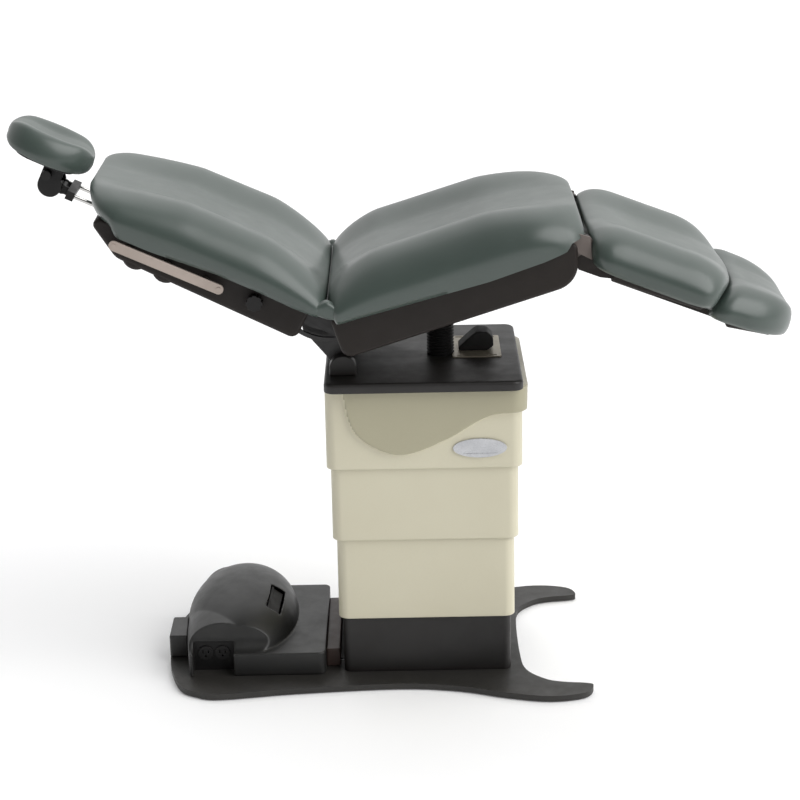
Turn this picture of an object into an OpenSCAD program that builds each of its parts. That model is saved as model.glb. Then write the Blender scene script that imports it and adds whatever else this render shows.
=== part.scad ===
// Powered procedure chair: seat, back, foot section and headrest on a telescoping lift column.
// Millimetres, +Z up, origin on the floor under the column, +X to the foot end, +Y across the seat.

/* [Pose] */
// Tilt of the seat above level, foot end up
seat_tilt = 17.5; // [0:0.5:20]
// Slope of the back below the head end
back_angle = 24.5; // [20:0.5:30]
// Slope of the foot section, toes down
foot_angle = 21; // [15:0.5:25]
// Slope of the headrest pad
head_angle = 25; // [18:0.5:26]
// Height of the back hinge line above the floor
hip_z = 932; // [900:1:960]
// Place of the back hinge line along the chair
hip_x = -205; // [-220:1:-190]

/* [Base] */
// Thickness of the steel floor plate
base_t = 14; // [10:1:20]
// Height of the rubber floor pads under the plate
pad_h = 2; // [1:0.5:4]
// Half width of the plate across the foot tips
base_tip_w = 322; // [310:1:340]
// Half width of the plate at its waist
base_waist_w = 242; // [235:1:255]
// Length of the plate behind the column centre
base_head_l = 608; // [595:1:625]
// Length of the plate in front of the column centre
base_toe_l = 376; // [365:1:395]
// Width of the black base cover
base_cover_w = 387; // [380:1:389]
// Depth of the black base cover
base_cover_d = 347; // [340:1:350]
// Top of the black base cover above the floor
base_cover_top = 205; // [190:1:225]

/* [Lift] */
// Travel of the lift below the shown height
lift_down = 400; // [300:5:400]
// Outside of the fixed column tube
column_w = 240; // [236:1:250]
// Wall of each column tube
column_wall = 8; // [6:0.5:8]
// Gap between one column tube and the next
column_gap = 4; // [3:0.5:6]
// Length of each column tube
stage_l = 276; // [262:1:278]
// Wall of the moulded covers
cover_wall = 4; // [3:0.5:4.5]
// Height of the lower cover above the floor
lower_z = 153; // [150:1:158]
// Height of the middle cover above the floor
middle_z = 348; // [344:1:352]
// Height of the top cover above the floor
top_z = 521; // [517:1:525]
// Width of the top cover
top_cover_w = 440; // [436:1:448]
// Step in width from each cover to the one below
cover_step = 18; // [16:1:18]
// Depth of the top cover
top_cover_d = 397; // [392:1:410]
// Step in depth from each cover to the one below
cover_step_d = 16; // [16:1:17]
// Corner radius of the covers
cover_r = 24; // [18:1:28]
// Thickness of the black top plate
plate_t = 22; // [18:1:26]
// Depth of the top plate across the chair
plate_d = 466; // [450:1:480]
// Height of the plate's top face
plate_z = 732; // [726:1:738]

/* [Seat] */
// Length of the seat cushion
seat_l = 570; // [560:1:574]
// Half width of the seat cushion
seat_w = 303; // [290:1:320]
// Height of the seat cushion at its side bolsters
seat_h = 105; // [95:1:112]
// Depth of the black shell under the seat
seat_shell_h = 96; // [90:1:102]
// Half width of the shells under the seat and back
shell_w = 235; // [230:1:245]
// Wall of the shells
shell_wall = 3.5; // [2.5:0.5:5]

/* [Back] */
// Length of the back cushion
back_l = 578; // [565:1:590]
// Half width of the back cushion
back_w = 300; // [290:1:315]
// Height of the back cushion at its side bolsters
back_h = 90; // [80:1:100]
// Radius from the hinge line to the curved recline slot
arc_r = 105; // [103:1:107]
// Width of the recline slot
slot_w = 16; // [14:0.5:18]
// Length of the flat side rails between their round ends
rail_l = 241; // [220:1:250]
// Width of the flat side rails
rail_w = 22; // [18:1:25]

/* [Headrest] */
// Radius of the two headrest rods
rod_r = 5; // [4:0.5:6]
// Half the distance between the headrest rods
rod_y = 48; // [42:1:54]
// Length of the headrest pad
head_l = 200; // [188:1:204]
// Half width of the headrest pad
head_w = 108; // [100:1:120]
// Height of the headrest pad
head_h = 58; // [50:1:62]

/* [Foot] */
// Length of the foot cushion at its sides
foot_l = 298; // [285:1:299]
// Half width of the foot cushion
foot_w = 282; // [270:1:295]
// Height of the foot cushion
foot_h = 86; // [75:1:95]
// Length of the extension cushion at its sides
toe_l = 203; // [195:1:215]
// Half width of the extension cushion
toe_w = 246; // [235:1:260]
// Height of the extension cushion
toe_h = 78; // [68:1:84]

/* [Pump housing] */
// Half depth of the pump housing's flat box
pump_w = 186; // [180:1:190]
// Depth of the flat box behind the centre line
pump_back = 224; // [215:1:228]
// Top of the flat box above the floor
pump_box_z = 71; // [66:1:78]
// Height of the rounded dome above the flat box
dome_h = 96; // [88:1:104]
// Centre spacing of the two outlet faces
outlet_pitch = 38.9; // [36:0.1:40]

/* [Fits] */
// Radial clearance of a pin or shaft in its bore
run_fit = 0.08; // [0.05:0.01:0.1]
// Clearance between soft or curved faces
seat_fit = 0.3; // [0.3:0.1:1]

/* [Hidden] */
$fn = 48;

base_top = pad_h + base_t;
hip_above_seat = 50;
hip_above_back = 32;
// Knee hinge: along the seat deck and below it, and above the foot deck
knee_x = 566;
knee_below_seat = 18;
knee_above_foot = 36;
knee_pin_r = 7;
knee_y = shell_w - 21;
// Inner faces of the seat rails and the back rails
seat_rail_y = shell_w - 47;
back_rail_y = shell_w - 59;
rail_t = 26;
// Tilt pivot beside the top plate's head end
tilt_x = -178;
tilt_z = 748;
tilt_r = 9;
tilt_plate_y = 124;
tilt_block_y = 152;
// Lift and tilt cylinders stand side by side in the column
lift_axis_x = -40;
tilt_axis_x = 42;
arc_y = 154;
soft = 28;

// Seat deck, back deck and foot deck frames

module in_seat() {
    translate([hip_x, 0, hip_z]) rotate([0, -seat_tilt, 0])
        translate([0, 0, -hip_above_seat]) children();
}

module in_back() {
    translate([hip_x, 0, hip_z]) rotate([0, back_angle, 0])
        translate([0, 0, -hip_above_back]) children();
}

module in_foot() {
    in_seat() translate([knee_x, 0, -knee_below_seat]) rotate([0, foot_angle + seat_tilt, 0])
        translate([0, 0, -knee_above_foot]) children();
}

// Upper headrest pivot, in the back frame
head_pivot = [-650, -27];

module in_head() {
    in_back() translate([head_pivot[0], 0, head_pivot[1]])
        rotate([0, head_angle - back_angle, 0]) children();
}

// Small shape helpers

// A point of the seat frame's side profile, carried over to the chair's own frame
function seat_point(x, z) = [
    hip_x + x * cos(seat_tilt) - (z - hip_above_seat) * sin(seat_tilt),
    hip_z + x * sin(seat_tilt) + (z - hip_above_seat) * cos(seat_tilt)
];

// The other way: where a point of the chair's frame lies in the seat's side profile
function to_seat(x, z) = [
    (x - hip_x) * cos(seat_tilt) + (z - hip_z) * sin(seat_tilt),
    -(x - hip_x) * sin(seat_tilt) + (z - hip_z) * cos(seat_tilt) + hip_above_seat
];

tilt_at = to_seat(tilt_x, tilt_z);

// Closed smooth curve through a few points
function spline_at(a, b, c, d, t) =
    0.5 * (2 * b + (c - a) * t + (2 * a - 5 * b + 4 * c - d) * t * t
        + (3 * b - a - 3 * c + d) * t * t * t);

function smooth(p, steps) = let(n = len(p)) [
    for (i = [0 : n - 1]) for (k = [0 : steps - 1])
        spline_at(p[(i + n - 1) % n], p[i], p[(i + 1) % n], p[(i + 2) % n], k / steps)
];

module rounded_rect(w, d, r) {
    square([w - 2 * r, d], center = true);
    square([w, d - 2 * r], center = true);
    for (sx = [-1, 1]) for (sy = [-1, 1])
        translate([sx * (w / 2 - r), sy * (d / 2 - r)]) circle(r);
}

module block(x0, x1, y0, y1, z0, z1) {
    translate([x0, y0, z0]) cube([x1 - x0, y1 - y0, z1 - z0]);
}

// A side profile in X and Z, made solid between two places across the chair
module across(y0, y1) {
    translate([0, y1, 0]) rotate([90, 0, 0]) linear_extrude(y1 - y0) children();
}

module both_sides() {
    children();
    mirror([0, 1, 0]) children();
}

// A round bar across the chair
module bar_y(x, z, r, y0, y1) {
    translate([x, y1, z]) rotate([90, 0, 0]) cylinder(h = y1 - y0, r = r);
}

// A round bar along a section
module bar_x(y, z, r, x0, x1) {
    translate([x0, y, z]) rotate([0, 90, 0]) cylinder(h = x1 - x0, r = r);
}

// A roller shape across the chair with softened ends, used as a corner of a moulded shell
module soft_roll(x, z, r, half_w, edge) {
    translate([x, 0, z]) rotate([90, 0, 0]) rotate_extrude($fn = 32) {
        translate([0, -half_w]) square([r - edge, 2 * half_w]);
        translate([0, edge - half_w]) square([r, 2 * (half_w - edge)]);
        for (s = [-1, 1]) intersection() {
            translate([r - edge, s * (half_w - edge)]) circle(edge, $fn = 16);
            translate([0, -half_w]) square([r, 2 * half_w]);
        }
    }
}

// Cushions: a closed form with side bolsters, a dished middle and drawn-in sides

function ease(t, p) = let(u = min(max(t, 0), 1)) pow(1 - pow(1 - u, p), 1 / p);
function signed_pow(v, p) = (v < 0 ? -1 : 1) * pow(abs(v), p);

// Half width at x: w0 to w1, with the plan corners c0 and c1 rounded off
function pad_half(x, l, w0, w1, c0, c1) =
    w0 + (w1 - w0) * x / l - c0 * (1 - ease(x / c0, 2)) - c1 * (1 - ease((l - x) / c1, 2));

// Height at x: rises from the share s0 over the length r0, and falls to s1 over r1
function pad_rise(x, l, h, s0, r0, p0, s1, r1, p1) =
    h * min(s0 + (1 - s0) * ease(x / r0, p0), s1 + (1 - s1) * ease((l - x) / r1, p1));

// How far a point moves along the cushion: slanted ends and bowed ends
function pad_shift(x, l, h, v, z, lean0, lean1, bow0, bow1) =
    let(a = pow(1 - x / l, 3), b = pow(x / l, 3), low = 1 - min(1, z / (0.6 * h)), mid = 1 - v * v)
    low * (lean0 * a - lean1 * b) + mid * (bow0 * a + bow1 * b);

// One cross-section, from the near bottom edge over the top to the far one
function pad_ring(x, half, rise, dish, steps, l, h, ends) = [
    for (j = [0 : steps + 1])
        let(a = 180 * min(j, steps) / steps)
        let(y = j > steps ? 0 : -half * signed_pow(cos(a), 0.56))
        let(z = j > steps ? 0 : rise * pow(max(sin(a), 0), 0.6))
        let(pull = 1 - 0.07 * pow(1 - min(1, z / (0.45 * rise)), 2))
        let(v = min(1, abs(y) / (0.72 * half)))
        let(shift = pad_shift(x, l, h, y / half, z, ends[0], ends[1], ends[2], ends[3]))
        [x + shift, y * pull, j > steps ? 0 : z - dish * pow(1 - v * v, 1.6) * min(1, z / 5)]
];

module pad(l, w0, w1, h, dish, c0, c1, s0, r0, p0, s1, r1, p1, ends = [0, 0, 0, 0],
    rows = 24, steps = soft) {
    ring = steps + 2;
    points = [
        for (i = [0 : rows])
            let(x = l * (1 - cos(180 * i / rows)) / 2)
            let(fade = ease(x / (0.45 * l), 1.6) * ease((l - x) / (0.45 * l), 1.6))
            each pad_ring(x, pad_half(x, l, w0, w1, c0, c1),
                pad_rise(x, l, h, s0, r0, p0, s1, r1, p1), dish * fade, steps, l, h, ends)
    ];
    walls = [
        for (i = [0 : rows - 1]) for (j = [0 : ring - 1])
            let(a = i * ring + j, b = i * ring + (j + 1) % ring)
            each [[a, b, a + ring], [b, b + ring, a + ring]]
    ];
    last = rows * ring;
    caps = [
        for (j = [0 : steps - 1])
            each [[ring - 1, j + 1, j], [last + ring - 1, last + j, last + j + 1]]
    ];
    polyhedron(points = points, faces = concat(walls, caps), convexity = 6);
}

// Base

module base_outline(grow = 0) {
    head = base_head_l + grow;
    toe = base_toe_l + grow;
    tip = base_tip_w + grow;
    waist = base_waist_w + grow;
    side = [
        [-head, 0], [-head + 8, 120], [-head + 38, 228], [-head + 78, 266], [-head + 136, 282 + grow],
        [-300, 258 + grow], [-65, waist], [72, waist + 18], [180, min(waist + 58, tip - 22)],
        [toe - 100, tip], [toe - 22, tip - 16], [toe, tip - 56], [toe - 18, tip - 68],
        [toe - 68, tip - 76], [toe - 108, tip - 94], [toe - 148, tip - 146], [toe - 158, 90]
    ];
    far = [for (i = [len(side) - 1 : -1 : 1]) [side[i][0], -side[i][1]]];
    polygon(smooth(concat(side, far), 5));
}

bolt_x = 140;
bolt_y = 70;
pipe_y = -100;
pipe_z = pad_h + base_t - 5.5;
pipe_x = [258 - base_head_l, lift_axis_x - 40];
module base_plate() color([0.17, 0.165, 0.15]) {
    difference() {
        translate([0, 0, pad_h]) linear_extrude(base_t) base_outline();
        for (x = [-bolt_x, bolt_x]) for (y = [-bolt_y, bolt_y])
            translate([x, y, pad_h - 1]) cylinder(h = base_t + 2, r = 5);
        block(pipe_x[0] - 6, pipe_x[1] + 6, pipe_y - 5, pipe_y + 5, pipe_z - 5, base_top + 1);
        block(pipe_x[1] - 5, pipe_x[1] + 6, pipe_y - 5, -20, pipe_z - 5, base_top + 1);
    }
}

module floor_pads() color([0.1, 0.1, 0.1]) {
    for (s = [-1, 1]) {
        translate([68 - base_head_l, s * 190, 0]) cylinder(h = pad_h, r = 26);
        translate([base_toe_l - 46, s * (base_tip_w - 37), 0]) cylinder(h = pad_h, r = 26);
    }
    cylinder(h = pad_h, r = 60);
}

// A cover like an open box, standing on z and closed at the top only on request
module cover_box(w, d, z0, z1, r) {
    difference() {
        translate([0, 0, z0]) linear_extrude(z1 - z0) rounded_rect(w, d, r);
        translate([0, 0, z0 - 1]) linear_extrude(z1 - z0 + 2)
            rounded_rect(w - 2 * cover_wall, d - 2 * cover_wall, r - cover_wall);
    }
}

module base_cover() color([0.17, 0.15, 0.14])
    cover_box(base_cover_w, base_cover_d, base_top, base_cover_top, cover_r - 6);

// Square column tubes, one inside the next
stage_step = 2 * (column_wall + column_gap);
fall = lift_down / 3;

module column_tube(w, z0, z1) {
    difference() {
        translate([0, 0, z0]) linear_extrude(z1 - z0) rounded_rect(w, w, 14);
        translate([0, 0, z0 - 1]) linear_extrude(z1 - z0 + 2)
            rounded_rect(w - 2 * column_wall, w - 2 * column_wall, 8);
    }
}

// Wear pads between two tubes, near the top of the outer one
module wear_pads(w, z) {
    for (a = [0 : 90 : 270]) rotate(a) for (s = [-1, 1])
        translate([w / 2 - column_wall - column_gap + seat_fit, s * w / 4 - 15, z - 40])
            cube([column_gap - seat_fit, 30, 34]);
}

column_bottom = base_top + 2;
stage_1_z = column_bottom + 4 + fall;
stage_2_z = column_bottom + 8 + 2 * fall;
stage_w = [for (i = [0 : 3]) column_w - i * stage_step];

module column_fixed() color([0.55, 0.56, 0.58]) {
    column_tube(stage_w[0], base_top, column_bottom + stage_l);
    wear_pads(stage_w[0], column_bottom + stage_l);
    // Foot tabs, each with its stud through the base plate and its nut
    for (x = [-bolt_x, bolt_x]) for (y = [-bolt_y, bolt_y]) {
        block(x < 0 ? x - 16 : column_w / 2 - 2, x < 0 ? 2 - column_w / 2 : x + 16,
            y - 16, y + 16, base_top, base_top + 10);
        translate([x, y, pad_h + 2]) cylinder(h = base_t + 8, r = 5);
        translate([x, y, base_top + 9]) cylinder(h = 7, r = 8, $fn = 6);
    }
}

module column_lower() color([0.55, 0.56, 0.58]) {
    column_tube(stage_w[1], stage_1_z, stage_1_z + stage_l);
    wear_pads(stage_w[1], stage_1_z + stage_l);
    cover_brackets(stage_w[1], lower_w, lower_d, stage_1_z + stage_l, lower_top);
}

module column_middle() color([0.55, 0.56, 0.58]) {
    column_tube(stage_w[2], stage_2_z, stage_2_z + stage_l);
    wear_pads(stage_w[2], stage_2_z + stage_l);
    cover_brackets(stage_w[2], middle_w, middle_d, stage_2_z + stage_l, middle_top);
}

module column_top() color([0.55, 0.56, 0.58])
    column_tube(stage_w[3], plate_z - plate_t - stage_l, plate_z - plate_t);

// The telescopic lift ram: four tubes that share the travel as the column does
ram_r = [34, 27, 20, 13];
ram_gap = 0.4;
ram_l = 262;

module ram_tube(i, z0, z1) {
    translate([lift_axis_x, 0, 0]) difference() {
        translate([0, 0, z0]) cylinder(h = z1 - z0, r = ram_r[i]);
        if (i < 3) translate([0, 0, z0 + (i == 0 ? 6 : -1)])
            cylinder(h = z1 - z0 + 2, r = ram_r[i + 1] + ram_gap);
    }
}

module lift_cylinder() color([0.3, 0.3, 0.32]) {
    ram_tube(0, base_top, base_top + ram_l);
    difference() {
        block(lift_axis_x - 48, lift_axis_x + 48, -48, 48, base_top, base_top + 8);
        translate([lift_axis_x, 0, base_top - 1]) cylinder(h = 10, r = ram_r[0] - 2);
    }
}

module ram_lower() color([0.75, 0.76, 0.78]) {
    ram_tube(1, base_top + 8 + fall, base_top + 8 + fall + ram_l);
}

module ram_middle() color([0.75, 0.76, 0.78])
    ram_tube(2, base_top + 10 + 2 * fall, base_top + 10 + 2 * fall + ram_l);

module ram_top() color([0.75, 0.76, 0.78])
    ram_tube(3, base_top + 12 + lift_down, plate_z - plate_t);

// Covers on the moving stages

middle_w = top_cover_w - cover_step;
lower_w = top_cover_w - 2 * cover_step;
middle_d = top_cover_d - cover_step_d;
lower_d = top_cover_d - 2 * cover_step_d;
lower_top = lower_z + 262;
middle_top = middle_z + 222;

// Four angle brackets that carry a cover on the top of its column tube
tab_t = 3;
module cover_brackets(tube, w, d, tube_top, cover_top_z) {
    low = min(cover_top_z - 20, tube_top - tab_t);
    for (s = [-1, 1]) {
        for (p = [[tube / 2, w / 2 - cover_wall], [w / 2 - cover_wall - 5, w / 2 - cover_wall]])
            block(min(s * p[0], s * p[1]), max(s * p[0], s * p[1]), -30, 30,
                p[0] == tube / 2 ? tube_top - tab_t : low, tube_top);
        for (p = [[tube / 2, d / 2 - cover_wall], [d / 2 - cover_wall - 5, d / 2 - cover_wall]])
            block(-30, 30, min(s * p[0], s * p[1]), max(s * p[0], s * p[1]),
                p[0] == tube / 2 ? tube_top - tab_t : low, tube_top);
    }
}

module cover_lower() color([0.82, 0.8, 0.72])
    cover_box(lower_w, lower_d, lower_z, lower_top, cover_r);

module cover_middle() color([0.82, 0.8, 0.72])
    cover_box(middle_w, middle_d, middle_z, middle_top, cover_r);

// The raised upper layer of the top cover ends in a wave
wave_out = 12;
wave_top = plate_z - plate_t - 1;
wave = [
    [-190, wave_top + 60], [-181, wave_top], [-163, wave_top - 84], [-118, wave_top - 131],
    [-46, wave_top - 153], [47, wave_top - 119], [139, wave_top - 67], [200, wave_top - 59],
    [260, wave_top - 59], [320, wave_top - 59]
];
module wave_profile() {
    polygon(concat([
        for (i = [1 : len(wave) - 3]) for (k = [0 : 7])
            spline_at(wave[i - 1], wave[i], wave[i + 1], wave[i + 2], k / 8)
    ], [[260, wave_top - 59], [260, wave_top]]));
}

module cover_top() color([0.82, 0.8, 0.72]) {
    top = plate_z - plate_t;
    w = top_cover_w;
    d = top_cover_d;
    difference() {
        union() {
            translate([0, 0, top_z]) linear_extrude(top - top_z) rounded_rect(w, d, cover_r);
            intersection() {
                translate([wave_out / 2, 0, top_z]) linear_extrude(top - top_z)
                    rounded_rect(w + wave_out, d + 2 * wave_out, cover_r);
                across(-d, d) wave_profile();
            }
        }
        translate([0, 0, top_z - 1]) linear_extrude(top - top_z + 2)
            rounded_rect(w - 2 * cover_wall, d - 2 * cover_wall, cover_r - cover_wall);
    }
}

module badge_plate() color([0.78, 0.78, 0.78])
    translate([124, -top_cover_d / 2, 569]) rotate([90, 0, 0]) difference() {
        linear_extrude(4) scale([0.6, 0.222]) circle(100, $fn = 96);
        translate([0, 0, 3]) linear_extrude(2) square([76, 25], center = true);
    }

module top_plate() color([0.16, 0.14, 0.13]) {
    bevel = 8;
    difference() {
        union() {
            translate([0, 0, plate_z - plate_t]) linear_extrude(plate_t - bevel)
                rounded_rect(top_cover_w, plate_d, cover_r);
            hull() {
                translate([0, 0, plate_z - bevel]) linear_extrude(0.1)
                    rounded_rect(top_cover_w, plate_d, cover_r, $fn = 32);
                translate([0, 0, plate_z - 2]) linear_extrude(2)
                    rounded_rect(top_cover_w - 10, plate_d - 10, cover_r, $fn = 32);
            }
        }
        translate([tilt_axis_x, 0, plate_z - plate_t - 1])
            cylinder(h = plate_t + 2, r = tilt_body_r);
    }
}

// Tilt pivot

module pivot_blocks() color([0.2, 0.19, 0.18]) both_sides()
    difference() {
        across(tilt_block_y - 15, tilt_block_y + 15) union() {
            translate([tilt_x, tilt_z]) circle(30);
            translate([tilt_x - 30, plate_z]) square([60, tilt_z - plate_z]);
        }
        block(tilt_x - 40, tilt_x + 40, 0, 200, tilt_z - 60, plate_z);
        bar_y(tilt_x, tilt_z, tilt_r + run_fit, tilt_block_y - 20, tilt_block_y + 8);
    }

module slot_plate() color([0.45, 0.42, 0.36]) difference() {
    translate([124, 40, plate_z]) linear_extrude(3) rounded_rect(112, 168, 6);
    for (x = [88, 160]) for (y = [-34, 114]) {
        translate([x, y, plate_z - 1]) linear_extrude(5) {
            square([14, 6], center = true);
            for (s = [-7, 7]) translate([s, 0]) circle(3);
        }
    }
    translate([tilt_axis_x, 0, plate_z - 1]) cylinder(h = 5, r = bellows_r + 1);
}

module seat_bumper() color([0.06, 0.06, 0.06])
    across(0, 56) translate([0, plate_z + 3]) polygon([
        [84, 0], [150, 0], [164, 10], [163, 30], [150, 43], [128, 45], [116, 38], [84, 9]
    ]);

// Tilt ram: it rises under the seat frame's wear plate
tilt_body_r = 24;
tilt_rod_r = 14;
roller_r = 14;
wear_z = -60;
wear_gap = 0.8;
wear_top = seat_point(0, wear_z);
wear_plane_z = wear_top[1] + (tilt_axis_x - wear_top[0]) * tan(seat_tilt);
roller_z = wear_plane_z - wear_gap - roller_r / cos(seat_tilt);
tilt_bottom_z = 508;

module tilt_cylinder() color([0.3, 0.3, 0.32]) translate([tilt_axis_x, 0, 0]) difference() {
    union() {
        translate([0, 0, tilt_bottom_z]) cylinder(h = plate_z + 12 - tilt_bottom_z, r = tilt_body_r);
        translate([0, 0, plate_z - plate_t - 6]) cylinder(h = 6, r = tilt_body_r + 6);
    }
    translate([0, 0, tilt_bottom_z + 6])
        cylinder(h = plate_z + 20 - tilt_bottom_z, r = tilt_rod_r + run_fit);
}

module tilt_ram() color([0.75, 0.76, 0.78]) translate([tilt_axis_x, 0, 0]) difference() {
    union() {
        translate([0, 0, tilt_bottom_z + 85])
            cylinder(h = roller_z - 20 - tilt_bottom_z - 85, r = tilt_rod_r);
        translate([-9, -15, roller_z - 24]) cube([18, 30, 9]);
        for (s = [-1, 1]) translate([-9, s * 12.5 - 2.5, roller_z - 24]) cube([18, 5, 32]);
    }
    bar_y(0, roller_z, 4 + run_fit, -20, 20);
}

module tilt_roller() color([0.3, 0.3, 0.3]) translate([tilt_axis_x, 0, 0]) {
    bar_y(0, roller_z, roller_r, -9.5, 9.5);
    bar_y(0, roller_z, 4, -15, 15);
}

// Corrugated rubber bellows round the tilt ram
bellows_r = 31;
bellows_top = roller_z - 24 - seat_fit;
module tilt_bellows() color([0.07, 0.07, 0.07]) {
    folds = 11;
    inner = tilt_body_r + 2;
    pitch = (bellows_top - plate_z) / folds;
    translate([tilt_axis_x, 0, plate_z]) rotate_extrude() polygon(concat(
        [[inner, 0]],
        [for (i = [0 : folds - 1]) each [[inner + 2, i * pitch], [bellows_r, (i + 0.5) * pitch]]],
        [[inner + 2, folds * pitch], [inner, folds * pitch]]));
}

// Seat

module seat_frame() color([0.25, 0.25, 0.26]) in_seat() {
    both_sides() {
        block(20, 500, seat_rail_y, seat_rail_y + rail_t, -46, 0);
        // Side tabs that hold the shell
        for (x = [150, 386]) block(x, x + 26, seat_rail_y + rail_t - 1, shell_w - shell_wall, -28, -14);
        across(tilt_plate_y - 6, tilt_plate_y + 6) difference() {
            union() {
                hull() {
                    translate(tilt_at) circle(15.5, $fn = 32);
                    translate([-6, -40]) circle(30, $fn = 32);
                    translate([60, -42]) circle(20, $fn = 32);
                }
                hull() {
                    translate(tilt_at) circle(15, $fn = 32);
                    translate([-72, -28]) circle(16, $fn = 32);
                    translate([-6, -36]) circle(26, $fn = 32);
                }
                translate([40, -60]) square([110, 40]);
            }
            translate(tilt_at) circle(tilt_r);
        }
    }
    // Cross members, the wear plate with its carriers, and the back cylinder's lugs
    block(150, 176, -seat_rail_y - rail_t, seat_rail_y + rail_t, -28, 0);
    block(386, 418, -seat_rail_y - rail_t, seat_rail_y + rail_t, -28, 0);
    for (s = [-1, 1]) {
        block(176, 386, s * 47 - 13, s * 47 + 13, -24, -6);
        block(176, 250, s * 31 - 3, s * 31 + 3, wear_z + 5, -4);
        block(386, 418, back_cyl_y + s * 27 - 3, back_cyl_y + s * 27 + 3, ram_line_z - 14, -28);
    }
    block(176, 250, -34, 34, wear_z, wear_z + 5);
}

module seat_shell() color([0.22, 0.2, 0.18]) in_seat() difference() {
    shell_body(0);
    shell_body(shell_wall);
    // Open top, open front between the cheeks, and slots for the pivot plates and the ram
    block(-60, 600, -shell_w - 9, shell_w + 9, -0.9, 40);
    block(10, 520, -shell_w + 10, shell_w - 10, -14, 40);
    block(470, 600, -shell_w + 6, shell_w - 6, -140, 10);
    block(-60, 96, -shell_w + 6, shell_w - 6, -140, 10);
    translate([to_seat(tilt_axis_x, 850)[0], 0, -140]) cylinder(h = 80, r = bellows_r + 12);
}

module shell_body(t) {
    w = shell_w - t;
    hull() {
        soft_roll(13, -seat_shell_h + 25, 25 - t, w, 10);
        soft_roll(480, -seat_shell_h + 60, 60 - t, w, 10);
        soft_roll(530, -18, 16 - t, w, 8);
        soft_roll(0, -13, 12 - t, w, 8);
    }
}

module seat_cushion() color([0.5, 0.55, 0.51]) in_seat() translate([1.5, 0, 0])
    pad(seat_l - 1.5, seat_w, seat_w - 24, seat_h, 26, 14, 126, 0.476, 130, 1.5, 0.42, 203, 1.37, rows = 28);

// Soft fold that closes the wedge under the hip crease
module hip_gusset() color([0.45, 0.5, 0.46]) {
    a = seat_point(1.2, 3);
    apex = [hip_x, hip_z - 5];
    b = [
        hip_x - 1.2 * cos(back_angle) - (hip_above_back - 3) * sin(back_angle),
        hip_z + 1.2 * sin(back_angle) - (hip_above_back - 3) * cos(back_angle)
    ];
    across(-seat_w + 32, seat_w - 32) polygon([apex, a, (a + b) / 2 + [0, -5], b]);
}

module tilt_shaft() color([0.7, 0.71, 0.73])
    bar_y(tilt_x, tilt_z, tilt_r, -tilt_block_y - 7, tilt_block_y + 7);

// The curved slot keeps the hinge line at the crease, above the mechanism
arc_reach = 56;
module arc_sector(r, a) {
    polygon(concat([[0, 0]], [for (i = [0 : 18]) r * [sin(-a + i * a / 9), -cos(-a + i * a / 9)]]));
}

module arc_plates() color([0.62, 0.63, 0.64]) in_seat() both_sides()
    across(arc_y - 4, arc_y + 4) difference() {
        union() {
            intersection() {
                translate([0, hip_above_seat]) difference() {
                    circle(arc_r + 18, $fn = 96);
                    circle(arc_r - 18, $fn = 96);
                }
                translate([0, hip_above_seat]) arc_sector(200, arc_reach + 4);
                translate([-200, -200]) square([400, 198.5]);
            }
            translate([86, -34]) square([64, 26]);
        }
        translate([0, hip_above_seat]) intersection() {
            difference() {
                circle(arc_r + slot_w / 2, $fn = 96);
                circle(arc_r - slot_w / 2, $fn = 96);
            }
            arc_sector(200, arc_reach - 1);
        }
    }

// Back and foot cylinders hang in the seat shell
ram_line_z = -73;
back_cyl_x = 402;
back_cyl_y = -88;
module back_cylinder() color([0.3, 0.3, 0.32]) in_seat() difference() {
    union() {
        bar_x(back_cyl_y, ram_line_z, 18, 176, back_cyl_x - 12);
        bar_y(back_cyl_x, ram_line_z, 12, back_cyl_y - 23.7, back_cyl_y + 23.7);
    }
    bar_x(back_cyl_y, ram_line_z, 9 + run_fit, 170, back_cyl_x - 30);
}

// The ram's eye has no pin through it: the loop is left open there
module back_ram() color([0.75, 0.76, 0.78]) in_seat() {
    bar_x(back_cyl_y, ram_line_z, 9, 4, 285);
    difference() {
        bar_y(-4, ram_line_z, 13, back_cyl_y - 9, back_cyl_y + 9);
        bar_y(-4, ram_line_z, 6, back_cyl_y - 10, back_cyl_y + 10);
    }
}

foot_cyl_y = 100;
foot_eye_x = 570;
module foot_cylinder() color([0.3, 0.3, 0.32]) in_seat() difference() {
    union() {
        bar_x(foot_cyl_y, ram_line_z, 18, 200, 420);
        block(176, 200, foot_cyl_y - 14, foot_cyl_y + 14, ram_line_z - 12, ram_line_z + 12);
        block(150, 176, foot_cyl_y - 14, foot_cyl_y + 14, ram_line_z - 12, -28);
    }
    bar_x(foot_cyl_y, ram_line_z, 9 + run_fit, 212, 425);
}

module foot_ram() color([0.75, 0.76, 0.78]) in_seat() {
    bar_x(foot_cyl_y, ram_line_z, 9, 296, foot_eye_x - 7);
    difference() {
        bar_y(foot_eye_x, ram_line_z, 12, foot_cyl_y - 8, foot_cyl_y + 8);
        bar_y(foot_eye_x, ram_line_z, 5, foot_cyl_y - 9, foot_cyl_y + 9);
    }
}

// Light plates at the knee that carry the foot section's hinge pins
module knee_brackets() color([0.5, 0.47, 0.44]) in_seat() both_sides() difference() {
    across(knee_y - 4, knee_y + 4) union() {
        translate([knee_x, -knee_below_seat]) circle(15);
        translate([500, -46]) square([30, 42]);
        polygon([[529, -46], [knee_x + 6, -31], [knee_x, -4], [529, -4]]);
    }
    bar_y(knee_x, -knee_below_seat, knee_pin_r, knee_y - 9, knee_y + 9);
}

// Back

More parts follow.
